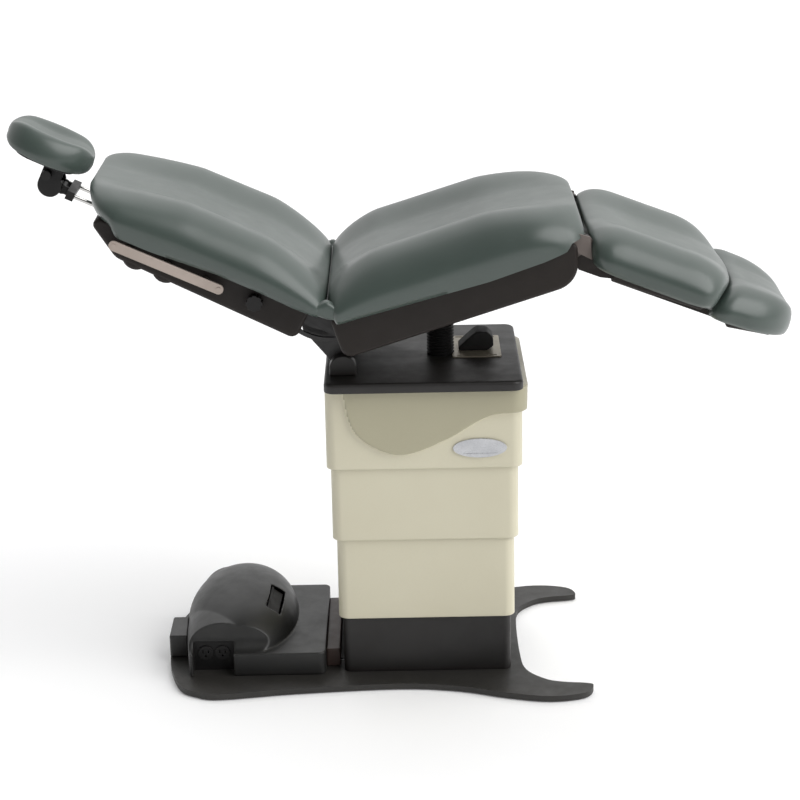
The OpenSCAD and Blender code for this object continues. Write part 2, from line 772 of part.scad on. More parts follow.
module back_frame() color([0.25, 0.25, 0.26]) in_back() {
    both_sides() {
        block(-478, -120, back_rail_y, back_rail_y + 24, -34, 0);
        // Side tabs that hold the shell
        for (x = [-410, -300]) block(x, x + 24, back_rail_y + 23, shell_w - shell_wall, -32, -18);
        difference() {
            across(arc_y + 8, arc_y + 18) union() {
                translate([-150, -44]) square([60, 34]);
                polygon([[-92, -44], [-92, -20], [arc_mid[0] + 4, arc_mid[1] + 16],
                    [arc_mid[0] - 2, arc_mid[1] - 16]]);
                translate(arc_mid) circle(18);
            }
            for (p = roller_at) bar_y(p[0], p[1], 4, arc_y, arc_y + 30);
        }
        block(-150, -120, min(arc_y + 18, back_rail_y), max(arc_y + 18, back_rail_y), -34, -10);
    }
    block(-150, -124, -back_rail_y, back_rail_y, -34, -10);
    // Upper cross member with the guide bores of the headrest rods
    difference() {
        block(-478, -450, -back_rail_y, back_rail_y, -35, -10);
        for (s = [-1, 1]) bar_x(s * rod_y, rod_z, rod_r + run_fit, -500, -440);
    }
    // Lever that the back ram pushes
    for (s = [-1, 1]) across(back_cyl_y + s * 17 - 3, back_cyl_y + s * 17 + 3) polygon([
        [-126, -34], [-126, -12], [40, -34], [ram_pin[0] + 12, ram_pin[1] + 6],
        [ram_pin[0] + 2, ram_pin[1] - 12], [ram_pin[0] - 14, ram_pin[1] - 2]
    ]);
}

// Roller centres and the ram's lever pin, seen from the back frame at the shown recline
shown_fold = seat_tilt + back_angle;
function from_hip(r, a) = [r * sin(a + shown_fold), hip_above_back - r * cos(a + shown_fold)];
arc_mid = from_hip(arc_r, 0);
roller_at = [from_hip(arc_r, -6), from_hip(arc_r, 6)];
ram_pin = from_hip(121, 0);

module arc_rollers() color([0.7, 0.71, 0.73]) in_back() both_sides()
    for (p = roller_at) {
        bar_y(p[0], p[1], slot_w / 2 - seat_fit, arc_y - 5, arc_y + 8);
        bar_y(p[0], p[1], 4, arc_y + 8, arc_y + 20);
    }

module back_shell() color([0.12, 0.11, 0.1]) in_back() difference() {
    union() {
        back_shell_body(0);
        // Moulded ridges under the upper half
        for (p = [[-413, -49], [-343, -51]]) soft_roll(p[0], p[1], 31, shell_w - 2, 10);
    }
    back_shell_body(shell_wall);
    block(-600, 0, -shell_w - 9, shell_w + 9, -0.9, 40);
    block(-505, -75, -shell_w + 10, shell_w - 10, -14, 40);
    block(-130, 0, -shell_w + 6, shell_w - 6, -140, 10);
    for (s = [-1, 1]) bar_x(s * rod_y, rod_z, rod_r + 4, -600, -490);
}

module back_shell_body(t) {
    w = shell_w - t;
    hull() {
        soft_roll(-44, -64, 20 - t, w, 10);
        soft_roll(-34, -13, 12 - t, w, 8);
        soft_roll(-440, -30, 40 - t, w, 10);
        soft_roll(-510, -15, 14 - t, w, 8);
    }
}

module back_cushion() color([0.5, 0.55, 0.51]) in_back() mirror([1, 0, 0]) translate([1.5, 0, 0])
    pad(back_l - 1.5, back_w, back_w - 28, back_h, 26, 14, 90, 0.355, 170, 1.35, 0.42, 230, 1.2,
        [0, 46, 0, 0], rows = 28);

rail_z = -37;
rail_mid = -344.5;
rail_y = shell_w + 27;
module side_rails() color([0.56, 0.53, 0.49]) in_back() both_sides() {
    translate([rail_mid, rail_y + 3, rail_z]) rotate([90, 0, 0]) linear_extrude(6) {
        square([rail_l, rail_w], center = true);
        for (s = [-1, 1]) translate([s * rail_l / 2, 0]) circle(rail_w / 2);
    }
    for (x = [-88, 0, 88]) bar_y(rail_mid + x, rail_z, 8, shell_w, rail_y - 3);
    for (x = [-120.5, 120.5]) bar_y(rail_mid + x, rail_z, 5, rail_y + 3, rail_y + 5);
}

knob_at = [-141, -38];
module clamp_knob() in_back() {
    difference() {
        union() {
            bar_y(knob_at[0], knob_at[1], 18, -shell_w - 24, -shell_w - 4);
            bar_y(knob_at[0], knob_at[1], 10, -shell_w - 4, -shell_w - seat_fit);
        }
        for (a = [0 : 45 : 315]) translate([knob_at[0] + 20.5 * cos(a), 0, knob_at[1] + 20.5 * sin(a)])
            bar_y(0, 0, 4.5, -shell_w - 25, -shell_w - 3);
    }
}

module clamp_knob_near() color([0.07, 0.07, 0.07]) clamp_knob();
module clamp_knob_far() color([0.07, 0.07, 0.07]) mirror([0, 1, 0]) clamp_knob();

// Headrest

rod_z = -27;
head_grip_x = -606;
lower_pivot = [-622, -27];

// The rods, their cross block and the lower knuckle ears
module head_rods() color([0.72, 0.7, 0.66]) in_back() {
    for (s = [-1, 1]) bar_x(s * rod_y, rod_z, rod_r, head_grip_x, -190);
    difference() {
        union() {
            block(head_grip_x - 2, head_grip_x + 16, -rod_y - 11, rod_y + 11, rod_z - 10, rod_z + 10);
            for (s = [-1, 1]) across(s * 26 - 4, s * 26 + 4) union() {
                translate(lower_pivot) circle(11);
                translate([lower_pivot[0], lower_pivot[1] - 9]) square([18, 18]);
            }
        }
        for (s = [-1, 1]) bar_x(s * rod_y, rod_z, rod_r, head_grip_x - 5, head_grip_x + 20);
        bar_y(lower_pivot[0], lower_pivot[1], 5 + run_fit, -40, 40);
    }
}

// A knuckle between the two headrest pivots
knuckle_y = 31;
module head_link() color([0.08, 0.08, 0.08]) in_back() {
    difference() {
        union() {
            bar_y(head_pivot[0], head_pivot[1], 16, -knuckle_y, knuckle_y);
            across(-21.7, 21.7) polygon([
                [head_pivot[0], head_pivot[1] + 10], [head_pivot[0], head_pivot[1] - 10],
                [lower_pivot[0], lower_pivot[1] - 7], [lower_pivot[0], lower_pivot[1] + 7]
            ]);
            bar_y(lower_pivot[0], lower_pivot[1], 9, -21.7, 21.7);
        }
        bar_y(head_pivot[0], head_pivot[1], 6 + run_fit, -40, 40);
    }
    bar_y(lower_pivot[0], lower_pivot[1], 5, -30, 30);
}

// Cheeks of the upper pivot and the tray under the pad
tray_z = 47;
head_mid = -29;
module head_bracket() color([0.1, 0.1, 0.1]) in_head() {
    cheek = knuckle_y + seat_fit;
    both_sides() across(cheek, cheek + 8) union() {
        circle(27);
        translate([-27, 0]) square([46, tray_z + 2]);
    }
    bar_y(0, 0, 6, -cheek - 4, cheek + 4);
    translate([head_mid, 0, tray_z]) linear_extrude(4) rounded_rect(136, 170, 40);
}

module head_cushion() color([0.5, 0.55, 0.51]) in_head()
    translate([head_mid - head_l / 2, 0, tray_z + 4])
        pad(head_l, head_w - 10, head_w - 10, head_h, 16, 97, 97, 0.44, 42, 2.3, 0.44, 42, 2.3, rows = 22);

// Locking knob on the headrest cheek
module head_knob() color([0.06, 0.06, 0.06]) in_head() {
    face = knuckle_y + seat_fit + 8;
    bar_y(-14, 22, 11, -face - 21, -face - 5);
    bar_y(-14, 22, 4, -face - 5, -face - seat_fit);
}

// Foot section

module foot_frame() color([0.2, 0.19, 0.18]) in_foot() {
    both_sides() difference() {
        across(knee_y - 20, knee_y - 4 - seat_fit) polygon(concat(
            [for (a = [30 : 20 : 190]) [15 * cos(a), knee_above_foot + 15 * sin(a)]],
            [[-6, 6], [2, -22], [8, -26], [58, -26], [84, -20], [84, -1], [50, -1], [34, 6]]));
        bar_y(0, knee_above_foot, knee_pin_r + run_fit, knee_y - 30, knee_y + 6);
    }
    block(62, 92, -knee_y + 19.5, knee_y - 19.5, -24, 0);
    hull() {
        soft_roll(92, -12, 12, shell_w - 13, 6);
        soft_roll(286, -10, 10, shell_w - 21, 6);
    }
    // Lugs for the foot ram
    for (s = [-1, 1]) difference() {
        across(foot_cyl_y + s * 14 - 3, foot_cyl_y + s * 14 + 3) union() {
            translate([44, -12]) circle(11);
            translate([44, -22]) square([20, 20]);
        }
        bar_y(44, -12, 5, foot_cyl_y - 20, foot_cyl_y + 20);
    }
}

module knee_pins() color([0.7, 0.71, 0.73]) in_foot() both_sides()
    bar_y(0, knee_above_foot, knee_pin_r - 0.05, knee_y - 22, knee_y - 4 - seat_fit);

foot_x = 12;
module foot_cushion() color([0.5, 0.55, 0.51]) in_foot() translate([foot_x, 0, 0])
    pad(foot_l, foot_w - 4, foot_w, foot_h, 20, 50, 44, 0.5, 70, 2.1, 0.42, 90, 2.1,
        [45, 0, 0, 46], rows = 24);

// Foot extension: a tray on two runners that slide under the foot frame
toe_deck = -26;
toe_x = 314;
runner_y = 150;
module toe_tray() color([0.24, 0.22, 0.21]) in_foot() {
    both_sides() {
        block(94, 312, runner_y - 8, runner_y + 8, -37, -24 - seat_fit);
        block(311, 368, runner_y - 8, runner_y + 8, -37, toe_deck);
    }
    hull() {
        soft_roll(366, toe_deck - 7, 7, 196, 5);
        soft_roll(466, toe_deck - 5, 5, 150, 4);
    }
}

module toe_cushion() color([0.5, 0.55, 0.51]) in_foot() translate([toe_x, 0, toe_deck])
    pad(toe_l, toe_w, toe_w - 41, toe_h, 10, 40, 129, 0.6, 60, 2.1, 0.38, 114, 2.1,
        [0, 0, 48, 0], rows = 24);

// Pump housing at the head end of the base

pump_x0 = 60 - base_head_l;
pump_x1 = -235;
dome_x = 171 - base_head_l;
outlet_mid = 113 - base_head_l;
outlet_y = -152;
outlet_z = 60;
panel_w = 94;
cove_r = 34;

// A rounded hood on straight sides; t is taken off all round
module hood_part(x, y, r, t) {
    translate([x, y, pump_box_z])
        scale([(r[0] - t) / 100, (r[1] - t) / 100, (r[2] - t) / 100]) sphere(100, $fn = 64);
    translate([x, y, 0]) linear_extrude(pump_box_z)
        scale([(r[0] - t) / 100, (r[1] - t) / 100]) circle(100, $fn = 64);
}

// The hood bulges over the middle and has a squarer shoulder at the head end
dome_y = 38;
dome_r = [131, 236, dome_h];
shoulder_x = dome_x - 38;
shoulder_r = [90, 330, dome_h - 24];
module dome_form(t) intersection() {
    union() {
        hood_part(dome_x, dome_y, dome_r, t);
        hood_part(shoulder_x, 0, shoulder_r, t);
    }
    block(-800, -200, t - pump_w, pump_back - t, base_top, 400);
}

module pump_box(t) {
    translate([pump_x0 + t, t - pump_w, t > 0 ? 0 : base_top])
        linear_extrude(pump_box_z - t - (t > 0 ? 0 : base_top))
            translate([(pump_x1 - pump_x0) / 2 - t, (pump_w + pump_back) / 2 - t])
                rounded_rect(pump_x1 - pump_x0 - 2 * t, pump_w + pump_back - 2 * t, 16 - t);
}

module pump_cover() color([0.16, 0.16, 0.155]) difference() {
    union() {
        pump_box(0);
        dome_form(0);
    }
    // Hollow inside, with walls behind the cut front and round the outlet recess
    difference() {
        union() {
            pump_box(4);
            dome_form(4);
        }
        block(-800, -200, -400, outlet_y + 4, pump_box_z - 4, 400);
        block(outlet_mid - panel_w / 2 - 4, outlet_mid + panel_w / 2 + 4, -400, outlet_y + 12, 0, 96);
    }
    // The hood's front is cut away above the box, with a coved foot
    block(-800, -200, -400, outlet_y, pump_box_z + cove_r, 400);
    bar_x(-pump_w, pump_box_z + cove_r, cove_r, -800, -200);
    // Recess and window for the outlet panel
    block(outlet_mid - panel_w / 2, outlet_mid + panel_w / 2, -400, outlet_y + 20, base_top - 1, 90);
    // Pocket under the port flap
    translate(port_at) rotate([port_roll, port_lean, 0])
        block(-21, 17, -port_half, port_half, -16, 40);
}

module outlet_panel() color([0.05, 0.05, 0.05]) {
    difference() {
        union() {
            block(outlet_mid - panel_w / 2 + seat_fit, outlet_mid + panel_w / 2 - seat_fit,
                outlet_y + 4, outlet_y + 10, base_top, 90 - seat_fit);
            for (s = [-1, 1])
                bar_y(outlet_mid + s * outlet_pitch / 2, outlet_z, 17.3, outlet_y, outlet_y + 5);
        }
        for (s = [-1, 1]) translate([outlet_mid + s * outlet_pitch / 2, 0, outlet_z]) {
            for (t = [-1, 1]) block(t * 6.3 - 1, t * 6.3 + 1, -170, outlet_y + 8, 0, 8);
            bar_y(0, -7, 2.4, -170, outlet_y + 8);
        }
    }
}

port_at = [dome_x + 81.6, -20.3, pump_box_z + 62.1];
port_lean = 35;
port_roll = 6.2;
port_half = 54;
// The flap's hinge barrel turns between the two ends of its pocket
module port_flap() color([0.03, 0.03, 0.03]) translate(port_at) rotate([port_roll, port_lean, 0]) {
    block(-14, 14, 3 - port_half, port_half - 3, -7, -2);
    bar_y(-14, -3, 3.5, seat_fit - port_half, port_half - seat_fit);
}

motor_x = dome_x - 33;
module pump_motor() color([0.4, 0.4, 0.42]) {
    bar_y(motor_x, 96, 48, -30, 120);
    bar_y(motor_x, 96, 18, 120, 134);
    block(motor_x - 30, motor_x + 30, -10, 100, base_top, 64);
}

module oil_reservoir() color([0.5, 0.5, 0.5])
    block(dome_x + 27, dome_x + 137, -60, 150, base_top, 60);

module valve_block() color([0.62, 0.63, 0.65]) {
    block(dome_x + 51, dome_x + 137, -150, -66, base_top, 54);
    for (x = [71, 94, 117]) translate([dome_x + x, -108, 54]) cylinder(h = 8, r = 9);
}

// Steel pipe in the plate's groove, from the valve block to the foot of the lift cylinder
module pressure_pipe() color([0.3, 0.3, 0.3]) {
    bar_x(pipe_y, pipe_z, 4.5, pipe_x[0], pipe_x[1]);
    bar_y(pipe_x[1], pipe_z, 4.5, pipe_y, -32);
    for (p = [[pipe_x[0], pipe_y], [pipe_x[1], pipe_y], [pipe_x[1], -32]])
        translate([p[0], p[1], pipe_z]) sphere(4.5);
    for (p = [[pipe_x[0], pipe_y], [pipe_x[1], -32]])
        translate([p[0], p[1], pipe_z]) cylinder(h = base_top - pipe_z, r = 4.5);
}

// Power inlet box at the head end of the housing
module inlet_box() color([0.1, 0.1, 0.1]) difference() {
    translate([pump_x0 - 28, -18.5, base_top]) linear_extrude(pump_box_z - base_top)
        rounded_rect(60, 113, 6);
    translate([shoulder_x, 0, 0]) linear_extrude(100)
        scale([(shoulder_r[0] + seat_fit) / 100, (shoulder_r[1] + seat_fit) / 100]) circle(100, $fn = 64);
    translate([dome_x, dome_y, 0]) linear_extrude(100)
        scale([(dome_r[0] + seat_fit) / 100, (dome_r[1] + seat_fit) / 100]) circle(100, $fn = 64);
    block(pump_x0 - seat_fit, 0, -200, 200, 0, 100);
}

// Low duct between the housing and the column
module wire_channel() color([0.2, 0.15, 0.13])
    block(pump_x1 + seat_fit, -max(lower_w, base_cover_w) / 2 - 0.6, -140, 165, base_top, base_top + 44);

base_plate();
floor_pads();
base_cover();
column_fixed();
lift_cylinder();
pump_cover();
pump_motor();
oil_reservoir();
valve_block();
pressure_pipe();
outlet_panel();
inlet_box();
wire_channel();
port_flap();
column_lower();
cover_lower();
ram_lower();
column_middle();
cover_middle();
ram_middle();
column_top();
cover_top();
ram_top();
top_plate();
badge_plate();
pivot_blocks();
slot_plate();
seat_bumper();
tilt_cylinder();
tilt_bellows();
tilt_ram();
tilt_roller();
seat_frame();
seat_shell();
seat_cushion();
hip_gusset();
tilt_shaft();
arc_plates();
back_cylinder();
foot_cylinder();
knee_brackets();
back_ram();
foot_ram();
back_frame();
back_shell();
back_cushion();
arc_rollers();
side_rails();
clamp_knob_near();
clamp_knob_far();
head_rods();
head_link();
head_bracket();
head_cushion();
head_knob();
foot_frame();
foot_cushion();
knee_pins();
toe_tray();
toe_cushion();
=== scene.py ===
import bpy, bmesh, math
import numpy as np
from mathutils import Matrix, Vector, noise


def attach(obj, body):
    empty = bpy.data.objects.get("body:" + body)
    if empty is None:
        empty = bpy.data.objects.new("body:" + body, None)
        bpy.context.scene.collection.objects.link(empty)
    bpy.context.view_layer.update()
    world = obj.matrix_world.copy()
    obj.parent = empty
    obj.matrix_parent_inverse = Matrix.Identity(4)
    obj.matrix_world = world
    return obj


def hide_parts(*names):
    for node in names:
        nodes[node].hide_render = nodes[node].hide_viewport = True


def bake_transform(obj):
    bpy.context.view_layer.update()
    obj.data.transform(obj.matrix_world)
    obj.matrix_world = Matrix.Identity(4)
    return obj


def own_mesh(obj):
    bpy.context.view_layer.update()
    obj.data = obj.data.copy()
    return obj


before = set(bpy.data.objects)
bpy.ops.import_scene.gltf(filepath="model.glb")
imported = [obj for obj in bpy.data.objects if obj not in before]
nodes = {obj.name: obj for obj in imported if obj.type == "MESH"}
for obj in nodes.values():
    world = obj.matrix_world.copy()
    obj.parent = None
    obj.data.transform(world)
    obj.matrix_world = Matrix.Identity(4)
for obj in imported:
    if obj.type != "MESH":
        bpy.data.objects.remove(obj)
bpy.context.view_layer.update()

# Lengths are in mm and angles in degrees where no comment says otherwise. Pieces are made in mm,
# many of them in the frame of their section, and come to metres when their mesh is placed.
MM = Matrix.Scale(0.001, 4)


def new_object(name, data):
    ob = bpy.data.objects.new(name, data)
    bpy.context.scene.collection.objects.link(ob)
    return ob


def maths(tree, how, a, b):
    """A Math node on two sockets."""
    n = tree.nodes.new("ShaderNodeMath")
    n.operation = how
    tree.links.new(a, n.inputs[0])
    tree.links.new(b, n.inputs[1])
    return n.outputs[0]


def ramp(tree, value, start, end, low, high):
    """Goes from low to high while value goes from start to end."""
    n = tree.nodes.new("ShaderNodeMapRange")
    tree.links.new(value, n.inputs["Value"])
    for key, number in (("From Min", start), ("From Max", end), ("To Min", low), ("To Max", high)):
        n.inputs[key].default_value = number
    return n.outputs["Result"]


# Camera, light, floor

# Fitted to the photograph: the place in metres, the angles in radians, the focal length in pixels
CAMERA_PLACE = Vector((-0.0382, -4.8707, 2.1974))
PITCH, ROLL, YAW = 0.3133, 0.0195, -0.003
FOCAL, IMAGE_SIZE, SENSOR = 2219.1, 800, 36

KEY_FROM = Vector((0.72, -0.3, 0.63))
FLOOR_HALF = 14       # metres
FLOOR_DROP = 0.0005   # metres, so that the floor doesn't coincide with the pads on it
FLOOR_GLOW = 0.1


def make_camera():
    """The camera at the photograph's viewing angle."""
    ahead = Vector((math.sin(YAW) * math.cos(PITCH), math.cos(YAW) * math.cos(PITCH),
                    -math.sin(PITCH)))
    level = Vector((math.cos(YAW), -math.sin(YAW), 0))
    upright = level.cross(ahead)
    right = level * math.cos(ROLL) - upright * math.sin(ROLL)
    up = level * math.sin(ROLL) + upright * math.cos(ROLL)
    data = bpy.data.cameras.new("camera")
    data.sensor_fit = "HORIZONTAL"
    data.sensor_width = SENSOR
    data.lens = FOCAL / IMAGE_SIZE * SENSOR
    data.clip_end = 60
    cam = new_object("camera", data)
    cam.matrix_world = Matrix((
        (right.x, up.x, -ahead.x, CAMERA_PLACE.x),
        (right.y, up.y, -ahead.y, CAMERA_PLACE.y),
        (right.z, up.z, -ahead.z, CAMERA_PLACE.z),
        (0, 0, 0, 1)))
    bpy.context.scene.camera = cam


def make_world():
    world = bpy.data.worlds.new("studio")
    bpy.context.scene.world = world
    world.use_nodes = True
    tree = world.node_tree
    background = tree.nodes["Background"]
    background.inputs["Color"].default_value = (1, 1, 1, 1)
    axes = tree.nodes.new("ShaderNodeSeparateXYZ")
    tree.links.new(tree.nodes.new("ShaderNodeTexCoord").outputs["Generated"], axes.inputs[0])
    x, y, z = (axes.outputs[k] for k in "XYZ")
    # White all round: brightest above and behind the chair, dimmest behind the camera
    strength = maths(tree, "ADD", ramp(tree, y, -0.6, 0.8, 0.07, 0.82),
                     ramp(tree, z, -0.6, 0.8, 0.03, 0.22))
    # Brighter still high up, on the side away from the camera
    high_up = maths(tree, "MULTIPLY", ramp(tree, y, 0.1, 0.42, 0, 1),
                    ramp(tree, z, 0.3, 0.9, 0, 0.75))
    strength = maths(tree, "ADD", strength, high_up)
    # A little dimmer toward the head end
    strength = maths(tree, "MULTIPLY", strength, ramp(tree, x, -1, 1, 0.78, 1.17))
    tree.links.new(strength, background.inputs["Strength"])


def make_key():
    """An even soft light from the right, so that the shadow falls to the head end."""
    data = bpy.data.lights.new("key", "SUN")
    data.energy = 2.45
    data.angle = math.radians(58)
    key = new_object("key", data)
    key.rotation_euler = KEY_FROM.to_track_quat("Z", "Y").to_euler()


def make_floor():
    me = bpy.data.meshes.new("floor")
    s = FLOOR_HALF
    me.from_pydata([(-s, -s, 0), (s, -s, 0), (s, s, 0), (-s, s, 0)], [], [(0, 1, 2, 3)])
    floor = new_object("floor", me)
    floor.location.z = -FLOOR_DROP
    return floor


# Materials

class Nodes:
    """The node tree of one material, with short ways to add to it."""

    def __init__(self, name):
        self.mat = bpy.data.materials.new(name)
        self.mat.use_nodes = True
        self.tree = self.mat.node_tree
        self.bsdf = self.tree.nodes["Principled BSDF"]
        self.coord = self.tree.nodes.new("ShaderNodeTexCoord").outputs["Object"]

    def give(self, socket, value):
        """Links another socket to this one, or sets its own number or colour."""
        if hasattr(value, "is_linked"):
            self.tree.links.new(value, socket)
        else:
            socket.default_value = value

    def add(self, kind, **inputs):
        n = self.tree.nodes.new(kind)
        for key, value in inputs.items():
            self.give(n.inputs[key], value)
        return n

    def noise(self, scale, detail, rough=0.55, stretch=None):
        at = self.coord
        if stretch:
            at = self.add("ShaderNodeMapping", Vector=at, Scale=stretch).outputs["Vector"]
        return self.add("ShaderNodeTexNoise", Vector=at, Scale=scale, Detail=detail,
                        Roughness=rough).outputs["Fac"]

    def spread(self, value, low, high, start=0.3, end=0.7):
        return ramp(self.tree, value, start, end, low, high)

    def mix(self, share, a, b):
        n = self.tree.nodes.new("ShaderNodeMix")
        n.data_type = "RGBA"
        # Sockets 6 and 7 are the two colours, and output 2 is their mix
        for k, value in ((0, share), (6, a), (7, b)):
            self.give(n.inputs[k], value)
        return n.outputs[2]


def lin(r, g, b):
    """A screen colour, 0 to 255, as the renderer's linear one."""
    return (*((c / 255) / 12.92 if c <= 10 else ((c / 255 + 0.055) / 1.055) ** 2.4
              for c in (r, g, b)), 1)


def surface(name, base, clouds, rough, rough_spread, cloud_scale, grain_scale, bump, depth,
            metal=0.0, pebbled=False, wear=None, wear_share=0.25, coat=0.0, coat_rough=0.2,
            stretch=None, specular=0.5):
    """Clouded colour with fine specks, paler worn edges, uneven gloss and a bumped grain."""
    m = Nodes(name)
    clouds = lin(*clouds)
    colour = m.mix(m.spread(m.noise(cloud_scale, 4.0), 0.0, 1.0), lin(*base), clouds)
    specks = m.noise(grain_scale * 0.35, 2.0, stretch=stretch)
    colour = m.mix(m.spread(specks, 0.0, 0.35), colour, clouds)
    if wear:
        edge = m.tree.nodes.new("ShaderNodeNewGeometry").outputs["Pointiness"]
        edge = m.spread(edge, 0.0, wear_share, 0.52, 0.6)
        patches = m.spread(m.noise(38.0, 5.0, 0.7), 0.2, 1.0)
        colour = m.mix(maths(m.tree, "MULTIPLY", edge, patches), colour, lin(*wear))
    gloss = m.spread(m.noise(cloud_scale * 5, 4.0, 0.6, stretch), rough - rough_spread,
                     rough + rough_spread)
    if pebbled:
        cells = m.tree.nodes.new("ShaderNodeTexVoronoi")
        cells.feature = "SMOOTH_F1"
        m.give(cells.inputs["Scale"], grain_scale)
        m.give(cells.inputs["Vector"], m.coord)
        height = cells.outputs["Distance"]
    else:
        height = m.noise(grain_scale, 3.0, 0.6, stretch)
    grain = m.add("ShaderNodeBump", Strength=bump, Distance=depth, Height=height)
    for key, value in (("Base Color", colour), ("Roughness", gloss), ("Metallic", metal),
                       ("Specular IOR Level", specular), ("Coat Weight", coat),
                       ("Coat Roughness", coat_rough), ("Normal", grain.outputs["Normal"])):
        m.give(m.bsdf.inputs[key], value)
    return m.mat


# Each look: the material's name, its colour and that of its clouds, its roughness and how far that
# varies, the scales of its clouds and grain, and the grain's strength and depth in metres
LOOKS = {
    "vinyl": ("vinyl", (64, 76, 70), (59, 70, 65), 0.4, 0.04, 3.2, 620, 0.16, 0.0003,
              dict(pebbled=True, coat=0.4, coat_rough=0.28)),
    "cream": ("cream_cover", (212, 207, 184), (206, 200, 176), 0.4, 0.05, 2.4, 900, 0.1, 0.0001,
              dict(wear=(233, 230, 212), wear_share=0.35)),
    # The raised layer's darker cream is painted shade: it stands for the shadow under the top
    # plate's overhang
    "panel": ("cream_panel", (174, 169, 144), (168, 163, 138), 0.45, 0.05, 2.4, 900, 0.1, 0.0001,
              dict(wear=(222, 217, 196), wear_share=0.35)),
    "base_paint": ("base_paint", (44, 42, 39), (37, 36, 34), 0.5, 0.07, 5, 1100, 0.3, 0.0002,
                   dict(wear=(92, 90, 86))),
    "shell": ("shell_plastic", (37, 31, 27), (31, 26, 23), 0.55, 0.05, 4, 760, 0.35, 0.0003,
              dict(pebbled=True, wear=(96, 90, 86), specular=0.3)),
    "plate": ("plate_paint", (28, 25, 23), (23, 21, 20), 0.48, 0.06, 4, 1000, 0.3, 0.0002,
              dict(wear=(92, 86, 80))),
    "black": ("black_plastic", (22, 21, 21), (18, 17, 17), 0.42, 0.08, 7, 820, 0.25, 0.0002,
              dict(pebbled=True, wear=(70, 68, 66), specular=0.3)),
    "rubber": ("rubber", (22, 21, 21), (28, 27, 26), 0.68, 0.06, 9, 700, 0.3, 0.0003, {}),
    "frame": ("frame_paint", (32, 31, 31), (26, 25, 26), 0.5, 0.07, 6, 900, 0.25, 0.0002,
              dict(wear=(110, 108, 106), wear_share=0.4)),
    "steel": ("steel", (150, 151, 154), (126, 127, 130), 0.36, 0.08, 12, 420, 0.12, 0.0001,
              dict(metal=1.0, wear=(200, 200, 202), wear_share=0.5)),
    "chrome": ("chrome", (205, 204, 202), (188, 187, 185), 0.16, 0.05, 14, 500, 0.05, 0.0001,
               dict(metal=1.0)),
    "rail": ("rail_metal", (184, 171, 162), (168, 156, 147), 0.46, 0.05, 9, 300, 0.15, 0.0001,
             dict(metal=0.55, stretch=(1, 1, 26), wear=(214, 206, 194))),
    "badge": ("badge_metal", (196, 197, 199), (176, 177, 180), 0.28, 0.06, 40, 700, 0.12, 0.0001,
              dict(metal=0.9, stretch=(1, 1, 18))),
    "slotplate": ("plated_steel", (178, 170, 152), (158, 150, 133), 0.4, 0.08, 18, 500, 0.2, 0.0001,
                  dict(metal=0.45, wear=(190, 178, 158))),
    "knee": ("knee_cover", (112, 101, 95), (99, 90, 85), 0.5, 0.06, 8, 800, 0.2, 0.0002,
             dict(wear=(140, 130, 124))),
    "hood": ("hood_plastic", (33, 33, 32), (28, 28, 27), 0.44, 0.06, 4.5, 900, 0.22, 0.0002,
             dict(pebbled=True, wear=(104, 103, 100), wear_share=0.4)),
    "duct": ("duct_plastic", (66, 50, 44), (56, 43, 38), 0.5, 0.06, 7, 800, 0.2, 0.0002, {}),
    "pale": ("floor_pale", (246, 246, 246), (243, 243, 244), 0.75, 0.05, 0.7, 60, 0.03, 0.0002, {}),
}

# The look of each CAD node, also of those that a piece made here stands for
NODE_LOOKS = {
    "base_plate": "base_paint", "floor_pads": "rubber", "base_cover": "plate",
    "column_fixed": "steel", "lift_cylinder": "frame", "pump_cover": "hood", "pump_motor": "frame",
    "oil_reservoir": "steel", "valve_block": "steel", "pressure_pipe": "steel",
    "outlet_panel": "black", "inlet_box": "black", "wire_channel": "duct", "port_flap": "black",
    "column_lower": "steel", "cover_lower": "cream", "ram_lower": "chrome",
    "column_middle": "steel", "cover_middle": "cream", "ram_middle": "chrome",
    "column_top": "steel", "cover_top": "cream", "ram_top": "chrome", "top_plate": "plate",
    "badge_plate": "badge", "pivot_blocks": "plate", "slot_plate": "slotplate",
    "seat_bumper": "rubber", "tilt_cylinder": "frame", "tilt_bellows": "rubber",
    "tilt_ram": "chrome", "tilt_roller": "steel", "seat_frame": "frame", "seat_shell": "shell",
    "seat_cushion": "vinyl", "hip_gusset": "vinyl", "tilt_shaft": "steel", "arc_plates": "frame",
    "back_cylinder": "frame", "foot_cylinder": "frame", "knee_brackets": "knee",
    "back_ram": "chrome", "foot_ram": "chrome", "back_frame": "frame", "back_shell": "shell",
    "back_cushion": "vinyl", "arc_rollers": "steel", "side_rails": "rail",
    "clamp_knob_near": "black", "clamp_knob_far": "black", "head_rods": "chrome",
    "head_link": "black", "head_bracket": "black", "head_cushion": "vinyl", "head_knob": "black",
    "foot_frame": "frame", "foot_cushion": "vinyl", "knee_pins": "steel", "toe_tray": "shell",
    "toe_cushion": "vinyl",
}


def make_materials():
    return {look: surface(*row[:-1], **row[-1]) for look, row in LOOKS.items()}


def glow(mat, strength):
    bsdf = mat.node_tree.nodes["Principled BSDF"]
    bsdf.inputs["Emission Color"].default_value = (1, 1, 1, 1)
    bsdf.inputs["Emission Strength"].default_value = strength


def paint(ob, mat):
    if not ob.material_slots:
        ob.data.materials.append(mat)
    for slot in ob.material_slots:
        slot.material = mat


# Frames of the moving sections: x toward the foot end along the section's board, z out of its top

def turn(deg):
    return Matrix.Rotation(math.radians(deg), 4, "Y")


def move(x, y, z):
    return Matrix.Translation((x, y, z))


HIP = (-205, 932)   # x and z of the crease line, on which the back turns
IN_SEAT = move(HIP[0], 0, HIP[1]) @ turn(-17.5) @ move(0, 0, -50)
IN_BACK = move(HIP[0], 0, HIP[1]) @ turn(24.5) @ move(0, 0, -32)
IN_FOOT = IN_SEAT @ move(566, 0, -18) @ turn(38.5) @ move(0, 0, -36)
IN_HEAD = IN_BACK @ move(-650, 0, -27) @ turn(0.5)


# Meshes

